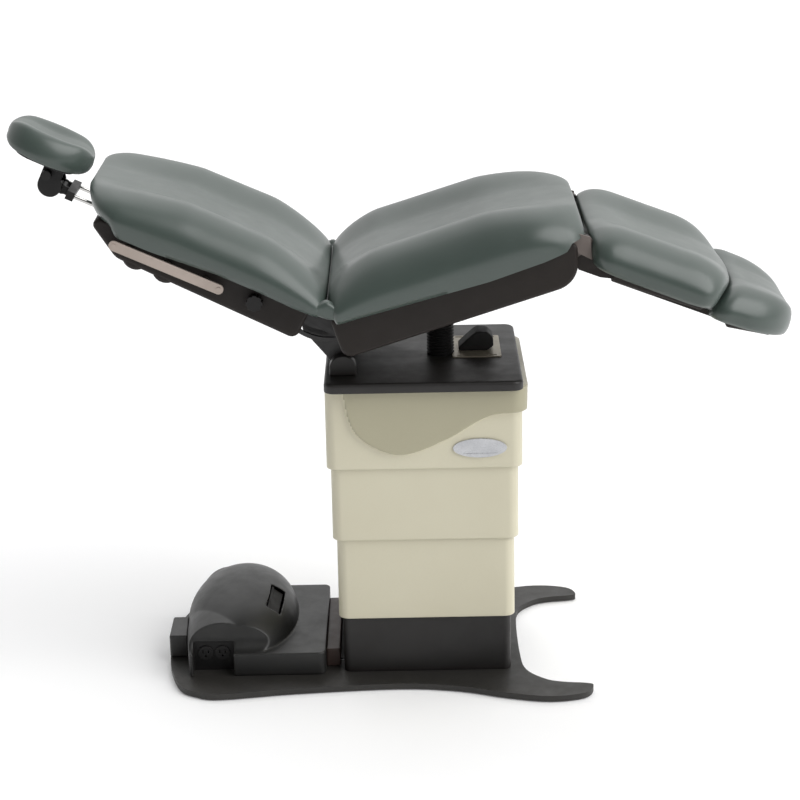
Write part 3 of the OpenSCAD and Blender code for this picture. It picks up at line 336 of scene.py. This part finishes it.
def bridge(a, b):
    """Faces between two closed lines of vertices, which are given by their numbers."""
    n = len(a)
    return [(a[j], a[(j + 1) % n], b[(j + 1) % n], b[j]) for j in range(n)]


def line_numbers(rings):
    """The numbers of the vertices of each ring, when the rings follow one another."""
    n = len(rings[0])
    return [range(i * n, (i + 1) * n) for i in range(len(rings))]


def face_out(me):
    bm = bmesh.new()
    bm.from_mesh(me)
    bmesh.ops.recalc_face_normals(bm, faces=bm.faces)
    bm.to_mesh(me)
    bm.free()


def shade(ob, angle):
    """Smooth, apart from the edges sharper than the angle."""
    ob.data.shade_smooth()
    ob.data.set_sharp_from_angle(angle=math.radians(angle))


def settle(ob):
    """Applies the modifiers, so the mesh is final."""
    deps = bpy.context.evaluated_depsgraph_get()
    me = bpy.data.meshes.new_from_object(ob.evaluated_get(deps), depsgraph=deps)
    ob.modifiers.clear()
    ob.data = me


def modify(ob, name, kind, **settings):
    """Adds one modifier and applies it."""
    m = ob.modifiers.new(name, kind)
    for key, value in settings.items():
        setattr(m, key, value)
    settle(ob)


def shade_flats(ob, angle, weight):
    """As shade does, and the large flat faces stay flat beside their rounded edges."""
    shade(ob, angle)
    modify(ob, "normals", "WEIGHTED_NORMAL", keep_sharp=True, weight=weight)


def add_mesh(name, verts, faces, angle, place=Matrix.Identity(4)):
    me = bpy.data.meshes.new(name)
    me.from_pydata([tuple(v) for v in verts], [], faces)
    me.transform(MM @ place)
    face_out(me)
    ob = new_object(name, me)
    shade(ob, angle)
    return ob


def copy_of(node, name, flatten=False):
    """A CAD node's own shape as a free mesh, with its doubled points merged."""
    ob = nodes[node].copy()
    ob.data = nodes[node].data.copy()
    ob.name = name
    ob.parent = None
    for key in list(ob.keys()):
        del ob[key]
    bpy.context.scene.collection.objects.link(ob)
    bm = bmesh.new()
    bm.from_mesh(ob.data)
    bmesh.ops.remove_doubles(bm, verts=bm.verts, dist=0.00001)
    if flatten:
        bmesh.ops.dissolve_limit(bm, angle_limit=math.radians(1.0), verts=bm.verts, edges=bm.edges)
    bm.to_mesh(ob.data)
    bm.free()
    return ob


def join_up(ob, body, mat, slot, *replaced):
    """Gives a piece its material and body, and hides the nodes that it stands for."""
    ob.data.materials.clear()
    ob.data.materials.append(mat)
    if body:
        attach(ob, body)
    if replaced:
        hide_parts(*replaced)
    return ob


# Cushions

CREST = 0.67             # where the bolster's crest is, as a share of the half width
SIDE_POWERS = 1.65, 2.3  # how full the side is, across and upwards
DISH_START, DISH_WIDTH = 0.36, 0.6   # the dish's slope, as shares of the way to the crest
ROWS, STEPS = 64, 90     # steps along a cushion, and over each of its cross-sections
UNDER, LIP = 0.885, 0.9  # how wide the underside and its lip are, as shares of the lower plan
GROW = 1.6               # how far the foam stands out
CAP_SHARES = 0.86, 0.66, 0.42, 0.18  # the sizes of the rings that close an end
CAP_RISE = 1.2           # how far the middle of an end stands out


def ease(t, p):
    """Rises from 0 to 1, steeply at first and level at the end; a larger p is fuller."""
    u = np.clip(t, 0, 1)
    return (1 - (1 - u) ** p) ** (1 / p)


def even(points, count):
    """The same line with its points evenly spaced."""
    d = np.concatenate([[0], np.cumsum(np.linalg.norm(np.diff(points, axis=0), axis=1))])
    t = np.linspace(0, d[-1], count)
    return np.stack([np.interp(t, d, points[:, k]) for k in range(points.shape[1])], 1)


def section(half, rise):
    """Half of a cushion's cross-section, from its lower edge up to the crest of its bolster."""
    t = np.linspace(0, math.pi / 2, 500)
    u, v = np.cos(t) ** (2 / SIDE_POWERS[0]), np.sin(t) ** (2 / SIDE_POWERS[1])
    return half * (CREST + (1 - CREST) * u), rise * v


def half_plan(x, size, corners):
    """Half of a cushion's width at x, with the corners at its start and end drawn in."""
    l, w0, w1, _ = size
    a, b = corners
    return w0 + (w1 - w0) * x / l - a * (1 - ease(x / a, 2)) - b * (1 - ease((l - x) / b, 2))


def cushion(name, place, size, dish, corners, start, end, ends=(0, 0, 0, 0), mirror=False,
            skirt=((0, 0), (1, 0)), board=0, lift=(0, 1, 0, 1), low_corners=None):
    """A closed form with a bolster on either side and a dished middle, along its section's x.

    size      length, half width at the start and at the end, height
    corners   how far the plan is drawn in at the start and the end; low_corners for the lower edge
    start     share of the height left there, the length over which it rises, how full that is;
              end in the same way
    ends      how far toward +x the lower edge moves at the start, and toward -x at the end, and
              how far toward +x the middle of the width moves at the start and at the end
    skirt     how far the lower edge hangs past the board, whose half width is board, along x
    lift      how far the underside curls up at the start and over what length, and at the end
    mirror    runs toward -x instead
    """
    l, w0, w1, h = size
    (s0, r0, p0), (s1, r1, p1) = start, end
    at, hang = (np.array(k, float) for k in zip(*skirt))
    rings = []
    for i in range(ROWS + 1):
        x = l * (1 - math.cos(math.pi * i / ROWS)) / 2
        half = half_plan(x, size, corners)
        low_half = half_plan(x, size, low_corners or corners)
        rise = h * min(s0 + (1 - s0) * ease(x / r0, p0), s1 + (1 - s1) * ease((l - x) / r1, p1))
        side_y, side_z = section(half, rise)
        flat = np.linspace(-1, 1, 400)[1:-1] * CREST * half
        y = np.concatenate([-side_y, flat, side_y[::-1]])
        z = np.concatenate([side_z, np.full(len(flat), rise), side_z[::-1]])
        yz = even(np.stack([y, z], 1), STEPS + 1)
        y, z = yz[:, 0], yz[:, 1]
        # The sides pull in a little toward the lower edge, which also has a plan of its own
        pull = 1 - 0.05 * (1 - np.minimum(1, z / (0.45 * h))) ** 2
        pull = pull * (1 + (low_half / half - 1) * (1 - np.clip(z / (0.5 * h), 0, 1)) ** 1.5)
        # The two ends lean and bow
        low = 1 - np.minimum(1, z / (0.6 * h))
        mid = 1 - (y / half) ** 2
        near_start, near_end = (1 - x / l) ** 3, (x / l) ** 3
        shift = (low * (ends[0] * near_start - ends[1] * near_end)
                 + mid * (ends[2] * near_start + ends[3] * near_end))
        # The dish fades toward the ends and where the plan is narrow
        fade = (ease(x / (0.45 * l), 1.6) * ease((l - x) / (0.45 * l), 1.6)
                * (half / max(w0, w1)) ** 2)
        v = np.minimum(1, np.abs(y) / (CREST * half))
        slope = np.clip((v - DISH_START) / DISH_WIDTH, 0, 1)
        top = z - dish * fade * (1 - slope ** 2 * (3 - 2 * slope)) * np.minimum(1, z / 5)
        # The underside curves up to the ends, past the board that holds it
        curl = lift[0] * (1 - ease(x / lift[1], 2)) + lift[2] * (1 - ease((l - x) / lift[3], 2))
        top = top + curl * (1 - np.clip(top / (0.8 * h), 0, 1))
        # The lower edge hangs as a lip outside the board
        drop = np.interp(x / l, at, hang) * min(1, max(0, (UNDER * low_half - board) / 8))
        top = top - drop * (1 - np.clip(z / (0.55 * h), 0, 1)) ** 2
        ring = np.stack([x + shift, y * pull, top], 1)
        under_x, under_y = ring[-1][0], low_half * UNDER
        lip_y, lip_z = low_half * LIP, curl - 0.8 * drop
        under = [(under_x, lip_y, lip_z)]
        under += [(under_x, under_y * k, curl) for k in (1, 0.6, 0.2, -0.2, -0.6, -1)]
        under += [(under_x, -lip_y, lip_z)]
        rings.append(np.vstack([ring, under]))
    lines = line_numbers(rings)
    verts = list(np.vstack(rings))
    faces = [f for a, b in zip(lines, lines[1:]) for f in bridge(a, b)]
    for last, out in ((lines[0], -1), (lines[-1], 1)):
        edge = np.array([verts[k] for k in last])
        centre = edge.mean(0)
        for share in CAP_SHARES:
            ring = centre + (edge - centre) * share
            ring[:, 0] += out * CAP_RISE * (1 - share ** 2)
            now = range(len(verts), len(verts) + len(edge))
            verts.extend(ring)
            faces += bridge(last, now)
            last = now
        verts.append(centre + np.array([out * CAP_RISE, 0, 0]))
        for j in range(len(last)):
            faces.append((last[j], last[(j + 1) % len(last)], len(verts) - 1))
    verts = np.array(verts)
    if mirror:
        verts[:, 0] *= -1
    ob = add_mesh(name, verts, faces, 80, place)
    swell(ob, place)
    return ob


def swell(ob, place):
    """The foam stands a little fuller than its board, and is not perfectly even."""
    me = ob.data
    to_section = (MM @ place).inverted()
    normals = [v.normal.copy() for v in me.vertices]
    for v, normal in zip(me.vertices, normals):
        height = (to_section @ v.co).z
        if height > 1.0:
            wave = noise.noise(v.co * 9.0) * 0.5 + noise.noise(v.co * 23.0) * 0.25
            v.co += normal * 0.001 * (GROW * min(1, height / 12) + wave)


def make_cushions(mats):
    seat = cushion(
        "seat_upholstery", IN_SEAT @ move(3.2, 0, 0), (566.8, 303, 279, 105), 26, (14, 126),
        (0.476, 130, 1.5), (0.42, 203, 1.37), board=236, low_corners=(14, 76),
        skirt=((0, 2), (0.1, 4), (0.3, 10), (0.6, 19), (0.82, 17), (1, 8)))
    back = cushion(
        "back_upholstery", IN_BACK, (572.5, 300, 272, 90), 26, (14, 90),
        (0.355, 170, 1.35), (0.42, 230, 1.2), (0, 46, 0, 0), mirror=True, board=236,
        skirt=((0, 6), (0.1, 8), (0.25, 5), (0.42, 6), (0.7, 18), (0.88, 19), (1, 0)))
    # It lies 4 mm toward the head end, which leaves the crease its room
    back.data.transform(Matrix.Translation((MM @ IN_BACK).to_3x3() @ Vector((-4, 0, 0))))
    head = cushion(
        "headrest_upholstery", IN_HEAD @ move(-129, 0, 51), (196, 98, 98, 58), 10, (97, 97),
        (0.5, 46, 2.1), (0.5, 46, 2.1), lift=(17, 34, 12, 32))
    foot = cushion(
        "foot_upholstery", IN_FOOT @ move(4, 0, 0), (306, 278, 282, 86), 20, (50, 44),
        (0.46, 80, 2.1), (0.42, 90, 2.1), (28, 0, 0, 46), board=223,
        skirt=((0, 0), (0.3, 3), (0.8, 4), (1, 0)))
    toe = cushion(
        "extension_upholstery", IN_FOOT @ move(314, 0, -26), (203, 246, 205, 78), 10, (40, 129),
        (0.6, 60, 2.1), (0.38, 114, 2.1), (0, 0, 48, 0))
    for ob, body, node in ((seat, "seat", "seat_cushion"), (back, "back", "back_cushion"),
                           (head, "headrest", "head_cushion"), (foot, "foot", "foot_cushion"),
                           (toe, "foot_extension", "toe_cushion")):
        join_up(ob, body, mats["vinyl"], "upholstery", node)


def side_point(place, x, z):
    """The world's x and z, in mm, of a point given in a section's frame."""
    p = place @ Vector((x, 0, z))
    return np.array([p.x, p.z])


def make_hip_fold(mats):
    """The fold of upholstery that closes the wedge under the crease."""
    apex = np.array([HIP[0], HIP[1] - 4.0])
    a = side_point(IN_SEAT, 1.6, 2.0)
    b = side_point(IN_BACK, -1.6, 2.0)
    low = (a + b) / 2 + np.array([0, -6.5])
    # Between the cushions it is a narrow tongue
    line = np.array([
        apex, apex * 0.5 + a * 0.5 + np.array([1.2, 0]), a,
        a * 0.5 + low * 0.5 + np.array([1.0, -1.6]), low,
        b * 0.5 + low * 0.5 + np.array([-1.0, -1.6]), b,
        apex * 0.5 + b * 0.5 + np.array([-1.2, 0])])
    # At the two sides it spreads over the lower end of the crease
    wide = np.array([
        (HIP[0], HIP[1] + 10), side_point(IN_SEAT, 14, 36), side_point(IN_SEAT, 44, 12),
        side_point(IN_SEAT, 32, -5), low + np.array([0, 1]), side_point(IN_BACK, -32, -5),
        side_point(IN_BACK, -44, 12), side_point(IN_BACK, -14, 20)])
    # How far out each outline of a side pad is, and its size
    pad = ((288, 0.5), (286, 0.78), (281, 0.94), (273, 1), (264, 1))
    outlines = [(-y, wide, size) for y, size in pad]
    outlines += [(y, line, 1) for y in np.linspace(-254, 254, 21)]
    outlines += [(y, wide, size) for y, size in pad[::-1]]
    rings = []
    for y, form, size in outlines:
        centre = form.mean(0)
        form = centre + (form - centre) * size
        rings.append([(x, y, z) for x, z in form])
    lines = line_numbers(rings)
    faces = [f for first, second in zip(lines, lines[1:]) for f in bridge(first, second)]
    faces += [tuple(lines[0]), tuple(lines[-1])]
    ob = add_mesh("hip_fold", [p for ring in rings for p in ring], faces, 80)
    modify(ob, "smooth", "SUBSURF", levels=2)
    join_up(ob, None, mats["vinyl"], "upholstery", "hip_gusset")
    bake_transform(ob)


KNEE_STEPS = 6            # across the gap, from the seat's edge to the foot section's
KNEE_SHEETS = 223, 227    # how far out the cover's inner and outer face are
KNEE_BOW = 2.5            # how far the middle of the cover bows out


def make_knee_covers(mats):
    """A flexible cover over each hinge ear, between the seat and foot cushions."""
    left = [side_point(IN_SEAT, x, z) for x, z in ((530, -16), (536, -8), (542, 4), (548, 16))]
    right = [side_point(IN_FOOT, x, z) for x, z in ((24, 8), (18, 22), (10, 38), (2, 54))]
    verts, faces = [], []
    for side in (-1, 1):
        sheets = []
        for y in KNEE_SHEETS:
            sheet = []
            for a, b in zip(left, right):
                sheet.append(list(range(len(verts), len(verts) + KNEE_STEPS + 1)))
                for k in range(KNEE_STEPS + 1):
                    c = a + (b - a) * k / KNEE_STEPS
                    bow = KNEE_BOW * math.sin(math.pi * k / KNEE_STEPS)
                    verts.append((c[0], side * y + side * bow, c[1]))
            sheets.append(sheet)
        for sheet in sheets:
            for row, above in zip(sheet, sheet[1:]):
                for k in range(KNEE_STEPS):
                    faces.append((row[k], row[k + 1], above[k + 1], above[k]))
        inner, outer = ([*sheet[0], *(row[-1] for row in sheet[1:]), *sheet[-1][-2::-1],
                         *(row[0] for row in sheet[-2:0:-1])] for sheet in sheets)
        faces += bridge(inner, outer)
    ob = add_mesh("knee_covers", verts, faces, 40)
    join_up(ob, None, mats["knee"], "frame_paint")
    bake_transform(ob)


# Moulded shells

# The rolls that a shell is drawn over, and those that stand out of the back's as ridges: x, z,
# radius, and the rounding of the ends
SEAT_ROLLS = [(13, -71, 25, 10), (480, -36, 60, 10), (530, -18, 16, 8), (0, -13, 12, 8)]
BACK_ROLLS = [(-44, -64, 20, 10), (-34, -13, 12, 8), (-440, -30, 40, 10), (-510, -15, 14, 8)]
BACK_RIDGES = [(-413, -49, 31, 10), (-343, -51, 31, 10)]
SHELL_HALF = 235
SHELL_WALL = 3.5
ROLL_SIDES, ROLL_STEPS = 56, 7   # points round a roll, and steps over the rounding of its ends


def roll_points(x, z, r, half_w, edge):
    """Points over the two rounded ends of a roll that lies across the section."""
    pts = []
    for side in (-1, 1):
        for k in range(ROLL_STEPS + 1):
            a = math.pi / 2 * k / ROLL_STEPS
            ring_r = r - edge + edge * math.cos(a)
            y = side * (half_w - edge + edge * math.sin(a))
            for i in range(ROLL_SIDES):
                t = 2 * math.pi * i / ROLL_SIDES
                pts.append((x + ring_r * math.cos(t), y, z + ring_r * math.sin(t)))
    return pts


def hull(name, points):
    me = bpy.data.meshes.new(name)
    bm = bmesh.new()
    for p in points:
        bm.verts.new(p)
    out = bmesh.ops.convex_hull(bm, input=bm.verts)
    loose = [v for v in out["geom_interior"] if isinstance(v, bmesh.types.BMVert)]
    bmesh.ops.delete(bm, geom=loose, context="VERTS")
    bmesh.ops.recalc_face_normals(bm, faces=bm.faces)
    bmesh.ops.dissolve_limit(bm, angle_limit=math.radians(0.4), verts=bm.verts, edges=bm.edges)
    bm.to_mesh(me)
    bm.free()
    return new_object(name, me)


def brick(x0, x1, y0, y1, z0, z1):
    """A box to cut with."""
    verts = [(x, y, z) for x in (x0, x1) for y in (y0, y1) for z in (z0, z1)]
    faces = [(0, 1, 3, 2), (4, 6, 7, 5), (0, 4, 5, 1), (2, 3, 7, 6), (0, 2, 6, 4), (1, 5, 7, 3)]
    me = bpy.data.meshes.new("cutter")
    me.from_pydata(verts, [], faces)
    face_out(me)
    return new_object("cutter", me)


def rod(x, y, z, r, length, along_x=False):
    """A round cutter, upright or along x, whose middle is at x, y, z."""
    me = bpy.data.meshes.new("cutter")
    bm = bmesh.new()
    bmesh.ops.create_cone(bm, cap_ends=True, segments=48, radius1=r, radius2=r, depth=length)
    bm.to_mesh(me)
    bm.free()
    if along_x:
        me.transform(Matrix.Rotation(math.pi / 2, 4, "Y"))
    me.transform(Matrix.Translation((x, y, z)))
    return new_object("cutter", me)


def combine(ob, others, how):
    for other in others:
        b = ob.modifiers.new("cut", "BOOLEAN")
        b.operation = how
        b.solver = "EXACT"
        b.object = other
    settle(ob)
    for other in others:
        bpy.data.objects.remove(other, do_unlink=True)


def over_rolls(name, rolls, wall):
    """The form drawn over the rolls, wall further in on all sides."""
    points = []
    for x, z, r, edge in rolls:
        points += roll_points(x, z, r - wall, SHELL_HALF - wall, edge)
    return hull(name, points)


def make_shell(name, rolls, ridges, cutters, place, body, mat, node):
    """A thin shell over the rolls; the cutters open it above and clear the mechanism inside it."""
    ob = over_rolls(name, rolls, 0)
    if ridges:
        combine(ob, [hull("ridge", roll_points(x, z, r, SHELL_HALF - 2, edge))
                     for x, z, r, edge in ridges], "UNION")
    combine(ob, [over_rolls("core", rolls, SHELL_WALL), *cutters], "DIFFERENCE")
    ob.data.transform(MM @ place)
    shade_flats(ob, 32, 50)
    join_up(ob, body, mat, "shell_plastic", node)


def make_shells(mats):
    w = SHELL_HALF
    seat_cutters = [
        brick(-60, 600, -w - 9, w + 9, -0.9, 40), brick(10, 520, -w + 10, w - 10, -14, 40),
        brick(470, 600, -w + 6, w - 6, -140, 10), brick(-60, 96, -w + 6, w - 6, -140, 10),
        rod(180.2, 0, -100, 43, 80)]
    make_shell("seat_under_shell", SEAT_ROLLS, (), seat_cutters, IN_SEAT, "seat", mats["shell"],
               "seat_shell")
    back_cutters = [
        brick(-600, 0, -w - 9, w + 9, -0.9, 40), brick(-505, -75, -w + 10, w - 10, -14, 40),
        brick(-130, 0, -w + 6, w - 6, -140, 10),
        rod(-545, 48, -27, 9, 110, along_x=True), rod(-545, -48, -27, 9, 110, along_x=True)]
    make_shell("back_under_shell", BACK_ROLLS, BACK_RIDGES, back_cutters, IN_BACK, "back",
               mats["shell"], "back_shell")


# Column covers

COVER_WALL = 4
LOW_ROUND, TOP_ROUND = 1.8, 1.4   # how the covers' lower and upper edges are rounded
RAM_X, RAM_HOLE = 42, 24          # where the tilt ram comes through the top plate, and the
                                  # radius of the hole that it has there


def perimeter(w, d, r, per_side, per_corner=12):
    """Points round a rounded rectangle, with the direction that faces out of it at each."""
    corners = ((1, 1, 0), (-1, 1, 90), (-1, -1, 180), (1, -1, 270))
    pts = []
    for (cx, cy, start), (nx, ny, _) in zip(corners, corners[1:] + corners[:1]):
        ox, oy = cx * (w / 2 - r), cy * (d / 2 - r)
        for i in range(per_corner + 1):
            a = math.radians(start + 90 * i / per_corner)
            pts.append((ox + r * math.cos(a), oy + r * math.sin(a), math.cos(a), math.sin(a)))
        # The straight side, on to the next corner
        a = math.radians(start + 90)
        ex, ey = nx * (w / 2 - r), ny * (d / 2 - r)
        ax, ay = ex + r * math.cos(a), ey + r * math.sin(a)
        bx, by = ox + r * math.cos(a), oy + r * math.sin(a)
        for i in range(1, per_side):
            t = i / per_side
            pts.append((bx + (ax - bx) * t, by + (ay - by) * t, math.cos(a), math.sin(a)))
    return np.array(pts)


def inset_ring(p, inset, z):
    """A perimeter's points at a height, moved inward by the inset."""
    return np.stack([p[:, 0] - p[:, 2] * inset, p[:, 1] - p[:, 3] * inset, np.full(len(p), z)], 1)


def quarter(steps):
    """Sine and cosine from 0 to 90 degrees."""
    for k in range(steps + 1):
        a = math.radians(90 * k / steps)
        yield math.sin(a), math.cos(a)


def lofted(name, rings):
    """A closed skin through the rings and from the last back to the first."""
    lines = line_numbers(rings)
    faces = [f for a, b in zip(lines, lines[1:] + lines[:1]) for f in bridge(a, b)]
    return add_mesh(name, np.vstack(rings), faces, 50)


def box_cover(name, w, d, z0, z1, r, body, mat, slot, node):
    """A square tube with rounded corners and edges."""
    p = perimeter(w, d, r, per_side=10)
    rings = [inset_ring(p, LOW_ROUND * (1 - s), z0 + LOW_ROUND * (1 - c)) for s, c in quarter(4)]
    rings += [inset_ring(p, 0, z) for z in (z0 + 12, (z0 + z1) / 2, z1 - 12)]
    rings += [inset_ring(p, TOP_ROUND * (1 - c), z1 - TOP_ROUND * (1 - s)) for s, c in quarter(4)]
    rings += [inset_ring(p, COVER_WALL, z) for z in (z1, z1 - 10, z0 + 10, z0)]
    join_up(lofted(name, rings), body, mat, slot, node)


# The top cover's raised layer: the points that its lower edge runs through, as x and the height
# over WAVE_TOP
WAVE_TOP = 709
WAVE = [(-190, 60), (-181, 0), (-163, -84), (-118, -131), (-46, -153), (47, -119), (139, -67),
        (200, -59), (260, -59), (320, -59)]
WAVE_SLOPE = 7          # how wide the step up to the layer is
WAVE_ENDS = -230, 226   # the stretch of x in which the layer's edge is looked up
# The layer stands out by LAYER_OUT at the height LAYER_FROM, and by LAYER_LEAN more LAYER_OVER
# above that. What stands out further than the limit below takes a darker cream, which is painted
# shade: it stands for the shadow under the top plate's overhang.
LAYER_OUT, LAYER_LEAN, LAYER_FROM, LAYER_OVER = 8.5, 3.5, 550, 160
SHADE_OUT = 5


def wave_line():
    """The layer's edge as x and z, on a smooth curve through its points."""
    xs, zs = [], []
    for i in range(1, len(WAVE) - 2):
        a, b, c, d = (np.array(WAVE[i + k], float) for k in (-1, 0, 1, 2))
        for k in range(24):
            t = k / 24
            p = 0.5 * (2 * b + (c - a) * t + (2 * a - 5 * b + 4 * c - d) * t * t
                       + (3 * b - a - 3 * c + d) * t * t * t)
            xs.append(p[0])
            zs.append(p[1] + WAVE_TOP)
    return np.array(xs), np.array(zs)


def inside_wave(x, z, xs, zs):
    """How far inside the raised layer points of the side lie, and negative outside it."""
    dist = np.full(len(x), 1e9)
    for i in range(len(xs) - 1):
        ax, az, bx, bz = xs[i], zs[i], xs[i + 1], zs[i + 1]
        vx, vz = bx - ax, bz - az
        t = np.clip(((x - ax) * vx + (z - az) * vz) / (vx * vx + vz * vz), 0, 1)
        dist = np.minimum(dist, np.hypot(x - ax - vx * t, z - az - vz * t))
    edge = np.interp(x, xs, zs, left=1e4)
    return np.where((x < WAVE[1][0]) | (z < edge), -dist, dist)


def make_top_cover(mats):
    z0, z1 = 521, 710
    xs, zs = wave_line()
    p = perimeter(440, 397, 24, per_side=110, per_corner=14)
    x = np.clip(p[:, 0], *WAVE_ENDS)

    def raise_by(z):
        inside = inside_wave(x, np.full(len(x), z), xs, zs)
        share = np.clip(inside / WAVE_SLOPE + 0.5, 0, 1)
        # The raised layer leans out toward the plate
        lean = LAYER_OUT + LAYER_LEAN * (z - LAYER_FROM) / LAYER_OVER
        return share * share * (3 - 2 * share) * lean

    outer = [(LOW_ROUND * (1 - s), z0 + LOW_ROUND * (1 - c)) for s, c in quarter(4)]
    # The rings lie closest where the wave's edge crosses them
    heights = [*np.arange(z0 + 8, 548, 6), *np.arange(548, 668, 1.6), *np.arange(668, 707, 3)]
    outer += [(0, z) for z in heights] + [(0, z1 - 1), (1, z1)]
    rings, raised = [], []
    for inset, z in outer:
        out = raise_by(z)
        raised.append(out > SHADE_OUT)
        rings.append(inset_ring(p, inset - out, z))
    for z in (z1, z0 + 10, z0):
        raised.append(np.zeros(len(p), bool))
        rings.append(inset_ring(p, COVER_WALL, z))
    ob = lofted("top_cover", rings)
    join_up(ob, "carriage", mats["cream"], "cream_cover", "cover_top")
    # The faces that stand out furthest take the darker cream, painted shade for the shadow under
    # the top plate
    ob.data.materials.append(mats["panel"])
    raised = np.concatenate(raised)
    for face in ob.data.polygons:
        if raised[list(face.vertices)].mean() > 0.5:
            face.material_index = 1


def make_deck_plate(mats):
    """The top plate, with a full soft edge above and a round hole for the tilt ram."""
    p = perimeter(440, 466, 24, per_side=16)

    def hole(z):
        d = np.hypot(p[:, 0] - RAM_X, p[:, 1])
        return np.stack([RAM_X + (p[:, 0] - RAM_X) / d * RAM_HOLE, p[:, 1] / d * RAM_HOLE,
                         np.full(len(p), z)], 1)

    rings = [inset_ring(p, 2 * (1 - s), 712 - 2 * c) for s, c in quarter(3)]
    rings += [inset_ring(p, 7 * (1 - c), 725 + 7 * s) for s, c in quarter(6)]
    rings += [inset_ring(p, 14, 732), hole(732), hole(710)]
    join_up(lofted("deck_plate", rings), "carriage", mats["plate"], "black_paint", "top_plate")


def make_column(mats):
    cream = (mats["cream"], "cream_cover")
    box_cover("lower_cover", 404, 365, 153, 415, 24, "lower_stage", *cream, "cover_lower")
    box_cover("middle_cover", 422, 381, 348, 570, 24, "middle_stage", *cream, "cover_middle")
    box_cover("foot_cover", 387, 347, 16, 205, 18, "base", mats["plate"], "shell_plastic",
              "base_cover")
    make_top_cover(mats)
    make_deck_plate(mats)


FOLD = ((0.25, 27.8), (0.44, 31.0), (0.5, 31.5), (0.56, 31.0), (0.75, 27.8), (1.0, 26.0))


def make_bellows(mats):
    """A bellows of round folds; each goes through FOLD's heights, as shares, and radii."""
    folds, foot, top = 17, 732.0, 854.7
    pitch = (top - foot) / folds
    profile = [(24.6, foot), (31.0, foot + 0.3), (31.0, foot + 1.4)]
    for i in range(folds):
        z = foot + i * pitch
        profile += [(r, z + t * pitch) for t, r in FOLD]
    profile.append((24.6, top))
    n = 64
    a = 2 * math.pi * np.arange(n) / n
    rings = [np.stack([RAM_X + r * np.cos(a), r * np.sin(a), np.full(n, z)], 1) for r, z in profile]
    ob = lofted("bellows", rings)
    join_up(ob, "carriage", mats["rubber"], "rubber", "tilt_bellows")
    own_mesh(ob)


# Carried-over solids with rounded edges: node, piece, body, look, slot, then the rounding's width
# and segments and the angle from which an edge is rounded

ROUNDED = [
    ("base_plate", "floor_plate", "base", "base_paint", "base_paint", 3.0, 3, 40),
    ("pivot_blocks", "pivot_covers", "carriage", "plate", "black_paint", 3.0, 3, 40),
    ("slot_plate", "slotted_plate", "carriage", "slotplate", "steel", 0.6, 2, 40),
    ("seat_bumper", "bumper", "carriage", "rubber", "rubber", 4.0, 4, 25),
    ("knee_brackets", "knee_ears", "seat", "knee", "frame_paint", 1.5, 2, 40),
    ("arc_plates", "recline_plates", "seat", "frame", "frame_paint", 0.8, 2, 40),
    ("seat_frame", "seat_rails", "seat", "frame", "frame_paint", 1.2, 2, 40),
    ("back_frame", "back_rails", "back", "frame", "frame_paint", 1.2, 2, 40),
    ("foot_frame", "foot_carrier", "foot", "shell", "frame_paint", 1.6, 2, 40),
    ("toe_tray", "extension_tray", "foot_extension", "shell", "shell_plastic", 1.6, 2, 40),
    ("head_link", "head_knuckle_block", "head_knuckle", "black", "black_plastic", 1.4, 2, 40),
    ("head_bracket", "head_tray", "headrest", "black", "black_plastic", 1.4, 2, 40),
    ("head_rods", "head_rod_pair", "head_slider", "chrome", "chrome", 1.0, 2, 40),
    ("side_rails", "accessory_rails", "back", "rail", "rail_metal", 1.6, 3, 40),
    ("clamp_knob_near", "near_knob", "near_clamp", "black", "black_plastic", 1.4, 2, 35),
    ("clamp_knob_far", "far_knob", "far_clamp", "black", "black_plastic", 1.4, 2, 35),
    ("outlet_panel", "outlet_faces", "base", "black", "black_plastic", 0.5, 2, 40),
    ("inlet_box", "inlet_cover", "base", "hood", "black_plastic", 4.0, 3, 40),
    ("wire_channel", "duct_cover", "base", "duct", "shell_plastic", 3.0, 3, 40),
    ("port_flap", "port_door", "port_flap_body", "rubber", "rubber", 1.0, 2, 40),
    ("badge_plate", "oval_badge", "carriage", "badge", "badge_metal", 0.9, 2, 40),
]
ROD_END = -588   # in the back's frame: the rods' cross block is on the head side of it


def make_rounded(mats):
    made = {}
    for node, name, body, look, slot, width, segments, angle in ROUNDED:
        ob = copy_of(node, name, flatten=True)
        modify(ob, "round", "BEVEL", width=width * 0.001, segments=segments, limit_method="ANGLE",
               angle_limit=math.radians(angle), miter_outer="MITER_ARC")
        shade_flats(ob, 50, 60)
        made[node] = join_up(ob, body, mats[look], slot, node)
    # The head rods' cross block is black
    rods = made["head_rods"].data
    rods.materials.append(mats["black"])
    to_section = (MM @ IN_BACK).inverted()
    for face in rods.polygons:
        if (to_section @ face.center).x < ROD_END:
            face.material_index = 1


def make_hood(mats):
    """The pump housing from its own solid, with moulded fillets between its forms."""
    ob = copy_of("pump_cover", "pump_hood")
    modify(ob, "skin", "REMESH", mode="VOXEL", voxel_size=0.0022, adaptivity=0.0)
    modify(ob, "ease", "SMOOTH", factor=0.5, iterations=6)
    modify(ob, "thin", "DECIMATE", ratio=0.3)
    shade(ob, 60)
    join_up(ob, "base", mats["hood"], "black_plastic", "pump_cover")


bpy.context.scene.view_settings.view_transform = "Standard"
make_camera()
make_world()
make_key()
floor = make_floor()
mats = make_materials()
glow(mats["pale"], FLOOR_GLOW)
paint(floor, mats["pale"])
for name, look in NODE_LOOKS.items():
    paint(nodes[name], mats[look])
make_cushions(mats)
make_hip_fold(mats)
make_knee_covers(mats)
make_shells(mats)
make_column(mats)
make_bellows(mats)
make_rounded(mats)
make_hood(mats)
